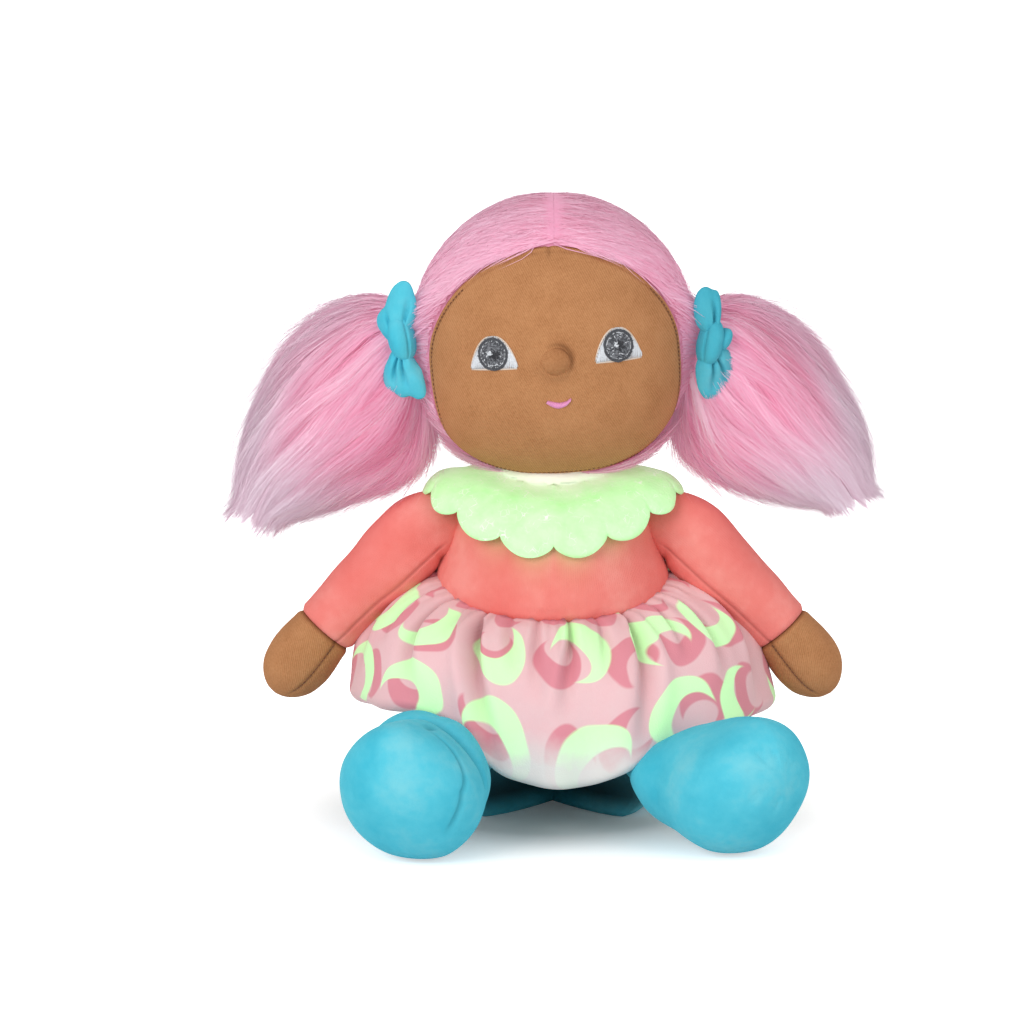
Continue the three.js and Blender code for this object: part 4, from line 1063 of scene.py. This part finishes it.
def sewIris(side, sign, rng):
    cx, cz = eyeMiddle(sign)
    tall = eyeSet["tall"]

    def rings(name, radii, stand, thick, material):  # threads laid round the iris
        turn = np.linspace(0, 2 * math.pi, 61)
        made = []
        for r in radii:
            wobble = r * (1 + rng.normal(0, 0.012, 60))
            wobble = np.r_[wobble, wobble[0]]
            x, z = cx + wobble * np.cos(turn), cz + tall * wobble * np.sin(turn)
            made.append(facePath(x, z, np.full(61, stand)))
        ring = tubePiece(name, *stackPaths(made), thick, material, pointed=False)
        return wear(ring, "head", "grey_thread")

    def fill(name, count, inner, outer, stand, material, seed, length=1.5, atX=0.0, atZ=0.0):
        # short stitches strewn over a ring
        dice = np.random.default_rng(seed + sign)
        turn = dice.uniform(0, 2 * math.pi, count)
        far = np.sqrt(dice.uniform(inner**2, outer**2, count))
        lean = turn + dice.normal(0.0, 0.9, count)
        s = np.linspace(-0.5, 0.5, 5)[None] * length * dice.uniform(0.6, 1.2, count)[:, None]
        px = atX + (far * np.cos(turn))[:, None] + s * np.cos(lean)[:, None]
        pz = atZ + tall * (far * np.sin(turn))[:, None] + s * np.sin(lean)[:, None]
        paths, normals = facePath(cx + px, cz + pz, stand + dice.uniform(0, 0.2, count)[:, None] + 0 * px)
        return wear(tubePiece(name, paths, normals, 0.2, material), "head", "grey_thread")

    disc = np.linspace(-5.2, 5.2, 24)
    half = tall * np.sqrt(np.clip(eyeSet["iris"] ** 2 - disc**2, 0.3, None))
    dz = half[:, None] * np.linspace(-1, 1, 9)[None]
    paths, normals = facePath(cx + disc[:, None] + 0 * dz, cz + dz, np.full_like(dz, 0.85))
    iris = tubePiece("iris_" + side, paths, normals, 0.34, greyThread)
    wear(iris, "head", "grey_thread", "eye_iris_" + side)
    rings("irisRing_" + side, (5.5, 5.1), 0.95, 0.3, darkThread)
    rings("irisPaleRing_" + side, (4.6,), 1.0, 0.16, whiteThread)
    fill("irisEdge_" + side, 70, 4.5, 5.6, 1.0, darkThread, 40, 1.1)
    fill("irisDark_" + side, 170, 0.8, 4.5, 0.98, darkThread, 50)
    fill("irisPale_" + side, 46, 1.6, 4.4, 1.08, greyThread, 60)
    fill("irisLight_" + side, 13, 2.2, 4.2, 1.12, whiteThread, 70, 1.0)
    fill("pupil_" + side, 54, 0.0, 1.75, 1.14, blackThread, 80, 1.3, 0.5, -0.1)
    fill("eyeGlint_" + side, 16, 0.0, 0.75, 1.4, whiteThread, 90, 1.2, -1.1, 0.5)


mouthSet = dict(start=-4.2, width=8.8, height=-17.6)


def makeMouth():
    along = np.linspace(0, 1, 25)
    x = mouthSet["start"] + mouthSet["width"] * along
    z = mouthSet["height"] + 1.5 * np.abs(2 * along - 1) ** 1.7 - 0.04 * x + 0.5 * ease(along, 0.8, 1.0)
    t = np.linspace(-1, 1, 7)[None]
    wide = (1.15 + 0.1 * ease(along, 0.6, 0.95)) * np.sin(np.linspace(0.35, math.pi - 0.45, 25)) ** 0.6
    paths, normals = facePath(x[:, None] + 0.35 * t, z[:, None] + wide[:, None] * t,
                              0.35 + 0.75 * np.sqrt(np.clip(1 - t**2, 0, 1)) + 0 * x[:, None])
    piece = tubePiece("mouthStitches", paths, normals, 0.33, pinkThread)
    return wear(piece, "head", "pink_thread", "mouth")


for side, sign, letter in sides:
    rng = np.random.default_rng(eyeSet["seed"] + sign)
    sewEyeWhite(side, sign, rng)
    sewIris(side, sign, rng)
makeMouth()
print("face sewn")

hairSet = dict(strands=27500, steps=5, length=(14, 26), width=0.46, lift=1.5, seed=11, neck=21,
               loose=0.012, looseByBow=0.04, looseLift=(1, 5), cheekLift=4.2, bowLift=(0.5, 8))


def makeHairBacking(side, sign, rings=46, around=150):  # from the face's edge to the back of the head
    turn = np.linspace(-math.pi / 2, math.pi / 2, around)[None]
    turn = turn if sign > 0 else math.pi - turn
    edge = leanToEdge(turn)
    share = np.linspace(0, 1, rings)[:, None] ** 1.2
    lean = edge + (math.pi - 0.001 - edge) * share
    grow = -1.3 + 1.7 * ease(share, 0, 0.03)
    grid = eggPoint(turn, lean, grow + 0 * turn)
    grid[..., 0] = np.where(sign * grid[..., 0] < 0.05, sign * 0.05, grid[..., 0])
    skin = gridPiece("hairBacking_" + side, grid, furBacking, closed=False, flip=sign < 0)
    wear(skin, "head", "pink_fur", "hair_panel_" + side, fill=0.9)


def hairRoots(rng, sign):  # where strands grow: not in the face or under the neck
    want = hairSet["strands"]
    spread = unit(rng.normal(size=(want * 4, 3)))
    spread[:, 0] = sign * (np.abs(spread[:, 0]) - 0.012)  # a little over the parting
    place = ontoHead(spread * eggHalf)
    far = np.hypot(place[:, 0], place[:, 2])
    inFace = (place[:, 1] < 0) & (far < outlineReach(np.arctan2(place[:, 2], place[:, 0])))
    inNeck = (place[:, 2] < 0) & (np.hypot(place[:, 0], place[:, 1]) < hairSet["neck"])
    return place[~inFace & ~inNeck][:want]


def hairLift(rng, sign, place, target, streak, crown):  # how far the tips stand off, and which are loose
    count = len(place)
    lift = (hairSet["lift"] * rng.uniform(0.5, 1.25, count) + 0.5 * streak) * (1 - 0.5 * crown)
    nearBow = dent(np.linalg.norm(place - target - (0, -14, 0), axis=1), 0, 24)
    loose = rng.random(count) < hairSet["loose"] + hairSet["looseByBow"] * nearBow
    lift = np.where(loose, lift + rng.uniform(*hairSet["looseLift"], count), lift)
    lift = lift + 2.2 * nearBow * rng.random(count)
    beside = ease(-place[:, 2], -6, 24) * dent(place[:, 1], -6, 20)  # the pile is fuller beside the cheeks
    lift = lift + hairSet["cheekLift"] * beside * rng.uniform(0.3, 1, count)
    byBow = ease(sign * place[:, 0], 36, 44) * ease(-place[:, 1], 6, 15)
    byBow = byBow * (1 - ease(np.abs(place[:, 2] - target[2] - 4), 18, 28))  # it hides the bow's inner edge
    return lift + byBow * rng.uniform(*hairSet["bowLift"], count), loose


def combHair(side, sign):  # strands that lie towards the pigtail's root
    rng = np.random.default_rng(hairSet["seed"] + sign)
    target = jointPlace(f"pigtail_{side}_swing") - headMiddle
    place = hairRoots(rng, sign)
    count, steps = len(place), hairSet["steps"]
    length = rng.uniform(*hairSet["length"], count)
    combed = np.cross(unit(place), unit(target)) * 60  # the same all along a combed lock
    streak = 0.45 * cloudy(combed, 2.6, 1) + 0.6 * cloudy(combed, 7, 5) + 0.4 * cloudy(place, 13, 2)
    crown = ease(place[:, 2], 30, 54)
    lift, loose = hairLift(rng, sign, place, target, streak, crown)
    at = place.copy()
    points, normals = [], []
    overEdge = rng.uniform(-0.3, 1.7 if sign > 0 else 2.3, count)  # the pile hangs over the face's edge
    wander = rng.normal(0, 0.16, (count, 3))
    for i in range(steps):
        t = i / (steps - 1)
        normal = headNormal(at)
        points.append(headMiddle + at + normal * (0.3 + lift * t**0.9)[:, None])
        normals.append(normal)
        flow = unit(target - at) + wander
        flow = flow - (flow * normal).sum(1, keepdims=True) * normal
        gap = np.linalg.norm(target - at, axis=1)
        at = at + unit(flow) * np.minimum(length / (steps - 1), gap * 0.25)[:, None]
        far, angle = np.hypot(at[:, 0], at[:, 2]), np.arctan2(at[:, 2], at[:, 0])
        wantFar = outlineReach(angle) - overEdge
        inside = (at[:, 1] < 0) & (far < wantFar)
        push = np.where(inside, wantFar / np.maximum(far, 1e-6), 1)
        at[:, 0] *= push
        at[:, 2] *= push
        at = ontoHead(at)
        at[:, 0] = sign * np.maximum(sign * at[:, 0], -0.6)
    paths, normals = np.stack(points, 1), np.stack(normals, 1)
    tangent = unit(np.gradient(paths, axis=1))
    across = unit(np.cross(tangent, normals))
    twist = rng.normal(0, 0.5, count)[:, None, None]
    across = across * np.cos(twist) + normals * np.sin(twist)
    # painted shade: darker along the parting, on the crown and on the left half; the crown is also painted
    # greyer
    parting = np.clip(1 - np.abs(place[:, 0]) / 3.5, 0, 1) * (place[:, 2] > 0)
    shade = 0.6 + 0.14 * streak + rng.normal(0, 0.04, count) - 0.22 * parting - 0.26 * crown - 0.05 * sign
    t = np.linspace(0, 1, steps)[None]
    fade = 0.14 + 0.05 * t + (0.34 * crown + 0.12 * np.clip(cloudy(place, 20, 7), 0, 1))[:, None]
    width = hairSet["width"] * rng.uniform(0.6, 1.2, count) * np.where(loose, 0.5, 1)
    lit = normals + rng.normal(0, 0.1, (count, 1, 3))
    fur = strandPiece("hairFur_" + side, paths, across, lit, width, shade, fade, pinkFur)
    return wear(fur, "head", "pink_fur")


for side, sign, letter in sides:
    makeHairBacking(side, sign)
    combHair(side, sign)
print("hair cap combed")


# pigtails

tailSet = dict(
    outer=((0, 13), (8, 19.5), (20, 21.5), (34, 16.5), (46, 7), (54.5, -4), (61.5, -18), (67, -30),
           (70.5, -42), (72, -53), (72.5, -63)),  # outwards and up from the root
    inner=((0, -11), (-5, -22), (-8, -32), (-8, -41), (-3, -51), (7, -57.5), (20, -63), (32, -67), (43, -70),
           (52, -72)),
    depth=((-0.1, 8), (0, 10), (0.15, 16), (0.4, 24), (0.6, 23), (0.8, 18), (1, 11), (1.2, 8)),
    beyond=(34, -48), before=(60, 0), core=0.84, raised=6, girth=26,
    strands=27500, steps=5, clumps=420, locks=64, reach=(0.3, 0.55), width=0.46, loose=0.21, seed=21,
)
tailOuter, tailInner = (smoothLine(tailSet[edge], 120) for edge in ("outer", "inner"))


def tailPoint(along, turn, rho, sign, root):  # along the pigtail, round it, and out from its middle
    at = np.linspace(0, 1, 120)
    outer, inner = (np.stack([np.interp(along, at, line[:, i]) for i in (0, 1)], -1)
                    for line in (tailOuter, tailInner))
    past = np.maximum(along - 1, 0)[..., None] * np.array(tailSet["beyond"])
    past = past + np.minimum(along, 0)[..., None] * np.array(tailSet["before"])
    middle, half = (outer + inner) / 2 + past, (outer - inner) / 2
    depth = np.interp(along, *np.array(tailSet["depth"]).T)
    flat = middle + (rho * np.cos(turn))[..., None] * half
    flat[..., 1] += tailSet["raised"] * max(sign, 0) * np.clip(along, 0, 1.2) ** 2  # one hangs higher
    return root + np.stack([sign * flat[..., 0], rho * np.sin(turn) * depth, flat[..., 1]], -1)


def makePigtailBacking(side, sign, letter):
    root = jointPlace(f"pigtail_{side}_swing")
    along = np.linspace(-0.03, 0.95, 60)[:, None]
    turn = fullTurn(72)
    drawn = tailSet["core"] * (1 - 0.72 * ease(along, 0.72, 0.95))
    grid = tailPoint(along + 0 * turn, turn, drawn * (1 + 0.03 * np.cos(turn * 11)), sign, root)
    backing = gridPiece("pigtailBacking_" + side, grid, furBacking, caps=(True, True), flip=sign > 0)
    wear(backing, "pigtail_" + letter, "pink_fur", "pigtail_" + side)


def tufts(rng, start, turn, number, stretch):  # each hair's nearest tuft, turn to it, distance and lead
    count, girth = len(start), tailSet["girth"]
    tuftStart, tuftTurn = rng.uniform(-0.03, 0.9, number), rng.uniform(0, 2 * math.pi, number)
    nearest, gap, edge = np.zeros(count, int), np.zeros(count), np.zeros(count)
    for i in range(0, count, 4000):
        part = slice(i, i + 4000)
        apart = wrapTurn(turn[part, None] - tuftTurn[None]) * girth
        distance = np.hypot(apart, (start[part, None] - tuftStart[None]) * girth * stretch)
        two = np.partition(distance, 1, axis=1)
        nearest[part], gap[part], edge[part] = distance.argmin(1), two[:, 0], two[:, 1] - two[:, 0]
    return nearest, wrapTurn(tuftTurn[nearest] - turn), gap, edge


def brushPigtail(side, sign, letter):  # strands in clumps, clumps in locks
    rng = np.random.default_rng(tailSet["seed"] + sign)
    root = jointPlace(f"pigtail_{side}_swing")
    count, steps = tailSet["strands"], tailSet["steps"]
    pool = np.linspace(-0.03, 0.93, 400)
    chance = np.interp(pool, (-0.1, 0.3, 1), (14, 32, 36))
    start = rng.choice(pool, count, p=chance / chance.sum()) + rng.uniform(-0.002, 0.002, count)
    turn = rng.uniform(0, 2 * math.pi, count)
    girth, core = tailSet["girth"], tailSet["core"]
    clumps, locks = tailSet["clumps"], tailSet["locks"]
    clump, towards, gap, _ = tufts(rng, start, turn, clumps, 1.0)
    lock, lockTowards, _, lockEdge = tufts(rng, start, turn, locks, 0.8)
    groove = 1 - ease(lockEdge, 0, 2.6)  # painted shade: the dark lines between the locks
    clumpLift, clumpShade = rng.uniform(-0.04, 0.06, clumps), rng.normal(0, 0.06, clumps)
    clumpReach = rng.normal(0, 0.06, clumps)
    lockShade, lockLift = rng.normal(0, 0.1, locks), rng.uniform(-0.03, 0.05, locks)
    lockWave, lockPhase = rng.uniform(0.03, 0.09, locks), rng.uniform(0, 6.3, locks)
    end = start + rng.uniform(*tailSet["reach"], count)
    end = np.minimum(end, 1.0 + clumpReach[clump] + rng.normal(0, 0.07, count))
    end = np.maximum(end, start + 0.12)
    loose = rng.random(count) < tailSet["loose"]  # these hairs stand off
    end = np.where(loose, end + rng.uniform(0, 0.09, count), end)
    t = np.linspace(0, 1, steps)[None]
    s = start[:, None] + (end - start)[:, None] * t
    phase = lockPhase[lock][:, None]
    wave = lockWave[lock][:, None] * (np.sin(9 * s + phase) - np.sin(9 * s[:, :1] + phase))
    angle = turn[:, None] + (0.5 * towards + 0.3 * lockTowards)[:, None] * t**1.1 + wave
    angle = angle + rng.normal(0, 0.04, (count, 1)) * t
    lift = 0.15 + clumpLift[clump] + lockLift[lock] - 0.06 * groove + rng.normal(0, 0.02, count)
    stray = np.where(loose, rng.uniform(0.03, 0.46, count), 0)
    paths = tailPoint(s, angle, core + lift[:, None] * t**0.75 + stray[:, None] * t**2, sign, root)
    normals = unit(paths - tailPoint(s, angle, 0 * s, sign, root))
    aside = unit(tailPoint(s, angle + 0.02, core + 0 * s, sign, root)
                 - tailPoint(s, angle - 0.02, core + 0 * s, sign, root))
    rounded = np.clip(-lockTowards * girth / 8, -1, 1)[:, None, None]  # each lock is a rounded tuft
    normals = unit(normals + 0.4 * rounded * aside)
    tangent = unit(np.gradient(paths, axis=1))
    across = unit(np.cross(tangent, normals))
    twist = rng.normal(0, 0.45, count)[:, None, None]
    across = across * np.cos(twist) + np.cross(tangent, across) * np.sin(twist)
    inner = ease(-np.cos(turn), 0.2, 1)
    # painted shade between the clumps and in the grooves between locks; painted light: the inner side a
    # little lighter
    shade = 0.64 + clumpShade[clump] + lockShade[lock] - 0.03 * gap - 0.22 * groove
    shade = shade + rng.normal(0, 0.06, count) + 0.05 * inner
    outer = ease(np.cos(angle), 0.4, 0.95) * ease(s, 0.02, 0.3)
    fade = 0.9 * ease(s, 0.48, 0.94) + 0.6 * outer + 0.12 * t**2 - 0.02 + np.where(loose, 0.25, 0)[:, None]
    width = tailSet["width"] * rng.uniform(0.5, 1.2, count) * np.where(loose, 0.5, 1)
    lit = normals + rng.normal(0, 0.1, (count, 1, 3))
    fur = strandPiece("pigtailFur_" + side, paths, across, lit, width, shade, fade, pinkFur)
    return wear(fur, "pigtail_" + letter, "pink_fur")


for side, sign, letter in sides:
    makePigtailBacking(side, sign, letter)
    brushPigtail(side, sign, letter)
print("pigtails brushed")


# bows

bowSet = dict(
    offset=6.5, front=20, rise=4.7, facing=0.35, depth=5.0,
    # each loop is a fan: angle from upright or straight down, outwards positive, and reach
    # a knot or lobe: across, up, half width, half depth, half height
    right=dict(
        knot=(-1.5, 0, 5.4, 6, 9), lobe=None, paintedShadeShare=0.03,
        upper=dict(at=(-2, -1), pleats=(-14, 30), fan=(
            (-34, 8), (-20, 17), (-9, 22.6), (0, 23.6), (9, 21.8), (22, 17.6), (36, 15), (50, 14), (62, 12.4),
            (76, 9), (100, 5))),
        lower=dict(at=(-2, -3), pleats=(-9, 11), fan=(
            (-40, 12), (-26, 21.5), (-16, 22.4), (-5, 21.2), (10, 20.6), (24, 18.3), (36, 14.3), (46, 9),
            (62, 5))),
    ),
    left=dict(
        knot=(0.5, -2, 5, 6, 9), lobe=(5.6, -1, 3.4, 5, 4.4), paintedShadeShare=0.24,
        upper=dict(at=(0, -1), pleats=(4,), fan=(
            (-40, 8), (-24, 16), (-12, 20.4), (0, 21.4), (10, 20), (18, 16), (30, 9), (60, 5))),
        lower=dict(at=(0, -4), pleats=(2, 26), fan=(
            (-44, 7), (-26, 12.5), (-14, 17.5), (0, 21.4), (14, 20.9), (36, 17.5), (59, 12.8), (80, 8.6),
            (100, 5))),
    ),
)


def makeBow(side, sign, letter):
    style = bowSet[side]
    offset = np.array([sign * bowSet["offset"], -bowSet["front"], bowSet["rise"]])
    middle = jointPlace(f"pigtail_{side}_swing") + offset
    facing = unit(np.array([sign * bowSet["facing"], -1.0, 0.0]))
    lateral = np.array([-facing[1], facing[0], 0]) * sign  # away from the head

    def spread(x, y, z, ripple, size, seed):  # from the bow's own plane to the head, a little uneven
        grid = middle + x[..., None] * lateral + y[..., None] * facing + z[..., None] * upward
        return grid + ripple * cloudy(grid, size, seed)[..., None] * facing

    def tie(piece, nodes, fill):
        # painted shade, deeper on the left bow, on the side away from the key light
        mark(piece, "paintedShade", np.full(len(piece.data.vertices), style["paintedShadeShare"]))
        wear(piece, "pigtail_" + letter, "blue_plush", *nodes, fill=fill)

    turn = fullTurn(160)
    t = np.linspace(0, 1, 60)[:, None]
    for name, up in (("upper", 1), ("lower", -1)):
        loop = style[name]
        line = smoothLine(loop["fan"], 160)
        low, high = line[0, 0], line[-1, 0]
        angle = (low + high) / 2 + (high - low) / 2 * np.cos(turn) + 0 * t
        reach = np.interp(angle, line[:, 0], line[:, 1])
        fold = sum(dent(angle, at + 4 * (1 - t), 3.5 + 2 * t) for at in loop["pleats"])
        far = reach * t * (1 - 0.05 * fold * ease(t, 0.7, 1))
        rounded = np.clip(1 - (np.clip(t - 0.25, 0, 1) / 0.75) ** 2, 0, 1) ** 0.75
        plump = (0.45 + 0.55 * ease(t, 0, 0.45)) * rounded * np.abs(np.sin(turn)) ** 0.75
        thick = bowSet["depth"] * plump * (1 - 0.5 * np.clip(fold, 0, 1) * (1 - ease(t, 0.55, 1)))
        x = loop["at"][0] + far * np.sin(np.radians(angle))
        z = loop["at"][1] + far * np.cos(np.radians(angle)) * up
        grid = spread(x, thick * np.sign(np.sin(turn)), z, 0.7, 8, 8)
        # painted shade in the pleats and towards the knot
        crease = 0.26 * np.clip(fold, 0, 1) * (1 - ease(t, 0.35, 0.95)) + 0.3 * (1 - ease(t, 0.12, 0.34))
        piece = gridPiece(f"bow_{name}_{side}", grid, bluePlush, caps=(False, True),
                          crease=np.clip(crease, 0, 1), flip=up * sign < 0)
        weld(piece)
        tie(piece, [f"bow_{name}_loop_{side}"], 0.6)
    lean = np.linspace(0.02, math.pi - 0.02, 40)[:, None]
    for name, form, nodes in (("bow_knotWrap_", style["knot"], ["bow_knot_" + side]),
                              ("bow_knotEnd_", style["lobe"], [])):
        if form:
            atX, atZ, wide, deep, tall = form
            tuck = 1 - 0.12 * dent(np.cos(turn - 0.9), 0, 0.12) * np.sin(lean)
            ring = np.sin(lean) ** 0.75 * tuck
            x = atX + wide * ring * np.cos(turn) + 1.5 * np.cos(lean)
            z = atZ + tall * np.cos(lean) + 0 * turn
            grid = spread(x, deep * 1.2 * ring * np.sin(turn), z, 0.5, 5, 3)
            # painted shade where the knot is tucked
            crease = 0.3 * dent(np.cos(turn - 0.9), 0, 0.1) * np.sin(lean)
            piece = gridPiece(name + side, grid, bluePlush, caps=(True, True), crease=crease, flip=sign > 0)
            tie(piece, nodes, 0.7)


for side, sign, letter in sides:
    makeBow(side, sign, letter)
print("bows tied")


# arms

armSet = dict(
    outline=((-10, 6), (0, 11.5), (12, 13.2), (28, 14.6), (48, 13.6), (66, 12.7), (77, 13.6), (84, 13.5),
             (90, 12), (95, 8.6), (98, 4.6), (99.2, 0.4)),  # distance from the shoulder, radius
    wrist=66, tip=99, length=96, droop=35, curl=20, seamTurn=4.2,
)
armLine = smoothLine(armSet["outline"], 240)


def limbSpot(turn, along, radius):  # a place on a limb for the noise
    x, y = np.cos(turn) * radius, np.sin(turn) * radius
    return np.stack([x + 0 * along, y + 0 * along, along + 0 * turn], -1)


def armPoint(along, turn, grow, sign, shoulder):
    radius = np.interp(along, armLine[:, 0], armLine[:, 1]) + grow
    out, deep = radius * np.cos(turn), radius * np.sin(turn)
    bend = armSet["length"] / math.radians(armSet["curl"])
    angle = np.maximum(along, 0) / bend
    x = (bend + out) * np.cos(angle) - bend
    y = np.where(along > 0, (bend + out) * np.sin(angle), along)
    droop = math.radians(armSet["droop"])
    return shoulder + np.stack([sign * (x * math.sin(droop) + y * math.cos(droop)), deep,
                                x * math.cos(droop) - y * math.sin(droop)], -1)


def makeSleeve(side, sign, letter):
    shoulder = jointPlace(f"arm_{side}_swing")
    turn, wrist = fullTurn(96), armSet["wrist"]
    along = np.linspace(-9, wrist - 0.2, 90)[:, None]
    spot = limbSpot(turn, along, 14)
    groove = dent(wrapTurn(turn - armSet["seamTurn"]), 0, 0.045) * ease(along, 2, 10)
    shoulderTop = 4.6 * dent(along, 11, 17) * np.clip(np.cos(turn), 0, 1)
    armpit = 1.0 * dent(along, 4, 14) * np.clip(-np.cos(turn), 0, 1)
    fold = dent(along - 9 - 2.5 * np.cos(turn - 2.6), 0, 2.2) * np.clip(-np.cos(turn + 0.3), 0, 1)
    grow = 0.55 * cloudy(spot, 12, 6 + sign) - 0.7 * groove - 1.5 * fold
    grow = grow - 1.0 * ease(along, wrist - 2.0, wrist) + shoulderTop - armpit
    # a darker seam, and painted shade in the fold near the shoulder
    sleeve = gridPiece("sleeveCloth_" + side, armPoint(along, turn, grow, sign, shoulder), coralPlush,
                       caps=(True, True), crease=np.clip(0.65 * groove + 0.4 * fold, 0, 1), flip=sign > 0)
    reach = armPoint(np.array([[16.0]]), np.array([[0.0]]), np.array([[-14.0]]), sign, shoulder)[0, 0]
    sew(sleeve, "torso", "arm_" + letter, shoulder, reach, "coral_plush", "sleeve_" + side, fill=0.85)


def makeHand(side, sign, letter):
    shoulder = jointPlace(f"arm_{side}_swing")
    turn, wrist = fullTurn(96), armSet["wrist"]
    along = (wrist + 0.2 + (armSet["tip"] - wrist) * np.linspace(0, 1, 60) ** 0.8)[:, None]
    spot = limbSpot(turn, along, 14)
    groove = dent(wrapTurn(turn - armSet["seamTurn"]), 0, 0.06) * (1 - ease(along, 92, 98))
    grow = 0.3 * cloudy(spot, 10, 9 + sign) - 0.55 * groove - 1.3 * (1 - ease(along, wrist, wrist + 2.2))
    crease = np.clip(0.45 * groove + 0.6 * (1 - ease(along, wrist, wrist + 1.2)), 0, 1)
    hand = gridPiece("handCloth_" + side, armPoint(along, turn, grow, sign, shoulder), brownTwill,
                     caps=(True, True), crease=crease, flip=sign > 0)
    wear(hand, "arm_" + letter, "brown_twill", "hand_" + side, "arm_stuffing_" + side, fill=0.85)


def sewHandSeam(side, sign, letter):
    shoulder = jointPlace(f"arm_{side}_swing")
    starts = np.arange(armSet["wrist"] + 1, 93, 1.9)
    s = starts[:, None] + np.linspace(0, 1.5, 4)[None]
    angle = np.full_like(s, armSet["seamTurn"])
    paths = armPoint(s, angle, -0.35, sign, shoulder)
    normals = unit(paths - armPoint(s, angle, -8.0, sign, shoulder))
    wear(tubePiece("handSeam_" + side, paths, normals, 0.3, brownThread), "arm_" + letter, "brown_twill")


for side, sign, letter in sides:
    makeSleeve(side, sign, letter)
    makeHand(side, sign, letter)
    sewHandSeam(side, sign, letter)
print("arms sewn")


# legs

legSet = dict(
    wide=((-7, 5), (0, 8), (18, 13), (28, 16.5), (36, 19.5), (49, 23), (57, 25.2)),
    over=((-7, 3), (0, 5), (18, 8), (28, 11), (36, 14.5), (49, 20.5), (57, 23.8)),
    under=((-7, 4), (0, 5.5), (18, 12), (28, 16.5), (36, 20.5), (49, 23.6), (57, 25.2)),
    toe=((68, 26.8), (78, 25.8), (86, 21.6), (92, 15.6), (95.6, 9), (97.2, 0.5)), toeRise=9, ankle=53,
    floor=0.3, flatten=3,
)
legLines = [smoothLine(legSet[part] + legSet["toe"], 240) for part in ("wide", "over", "under")]


def makeLeg(side, sign, letter):
    hip = jointPlace(f"leg_{side}_swing")
    axis = joint(f"leg_{side}_swing")["axis"]
    ahead = np.array([-axis[1], axis[0], 0.0])
    across = np.array([-ahead[1], ahead[0], 0.0])
    turn = fullTurn(112)
    along = np.concatenate([np.linspace(-6, 60, 70), 60 + 37 * np.linspace(0, 1, 56)[1:] ** 0.75])[:, None]
    wide, over, under = (np.interp(along, line[:, 0], line[:, 1]) for line in legLines)
    spot = limbSpot(turn, along, 24)
    upside, inside = np.clip(np.sin(turn), 0, 1), np.clip(-sign * np.cos(turn), 0, 1)
    folded = 1.0 if sign < 0 else 0.0  # only one ankle is folded
    fold = folded * dent(along - 6 * inside, legSet["ankle"], 2.6) * upside**0.5
    seam = folded * dent(along - 83 + 9 * upside, 0, 1.0) * ease(np.cos(turn - 0.25), 0.4, 0.75)
    pinch = folded * dent(wrapTurn(turn - 1.35), 0, 0.05) * dent(along, 69, 5)
    grow = 0.8 * cloudy(spot, 17, 12 + sign) - 2.2 * fold - 1.1 * seam - 1.6 * pinch
    slope = 1 - (0.26 + 0.06 * folded) * inside * ease(along, 44, 64)  # the instep's inner side falls away
    tall = np.where(np.sin(turn) > 0, over * slope * (1 + 0.05 * folded * ease(along, 40, 62)), under)
    outside = np.clip(sign * np.cos(turn), 0, 1)
    tall = tall + folded * (7.5 + 5 * outside) * upside**0.5 * dent(along, 39, 13) * ease(along, 22, 36)
    broad = wide + (2.0 * folded * (1 - inside) * ease(along, 50, 66)
                    + 11 * folded * outside * dent(along, 38, 15) * ease(along, 6, 24)
                    + 7 * (1 - folded) * inside * dent(along, 32, 18) * ease(along, 4, 20))
    grow = grow + 3.2 * folded * outside * upside * 2 * dent(along, 39, 13)
    lift = legSet["toeRise"] * ease(along, 62, 97) ** 1.5
    sideways, height = (broad + grow) * np.cos(turn), (tall + grow) * np.sin(turn) + lift
    grid = hip + along[..., None] * ahead + sideways[..., None] * across + height[..., None] * upward
    low, soft = legSet["floor"], legSet["flatten"]  # the underside flattens where it rests
    above = grid[..., 2] - low - soft
    grid[..., 2] = np.where(above < 0, low + soft * np.exp(above / soft), grid[..., 2])
    # painted shade in the ankle fold and the pinch, and a darker seam
    crease = np.clip(0.6 * fold + 0.6 * seam + 0.7 * pinch, 0, 1)
    leg = stuff(gridPiece("legCloth_" + side, grid, bluePlush, caps=(True, True), crease=crease), 112)
    sew(leg, "torso", "leg_" + letter, hip + ahead, hip + ahead * 20, "blue_plush", "leg_cover_" + side,
        "leg_stuffing_" + side, fill=0.85)


for side, sign, letter in sides:
    makeLeg(side, sign, letter)
print("legs sewn")

boxes = dict(cad=cadBox, visual=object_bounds())
{name: [list(corner) for corner in box] for name, box in boxes.items()}
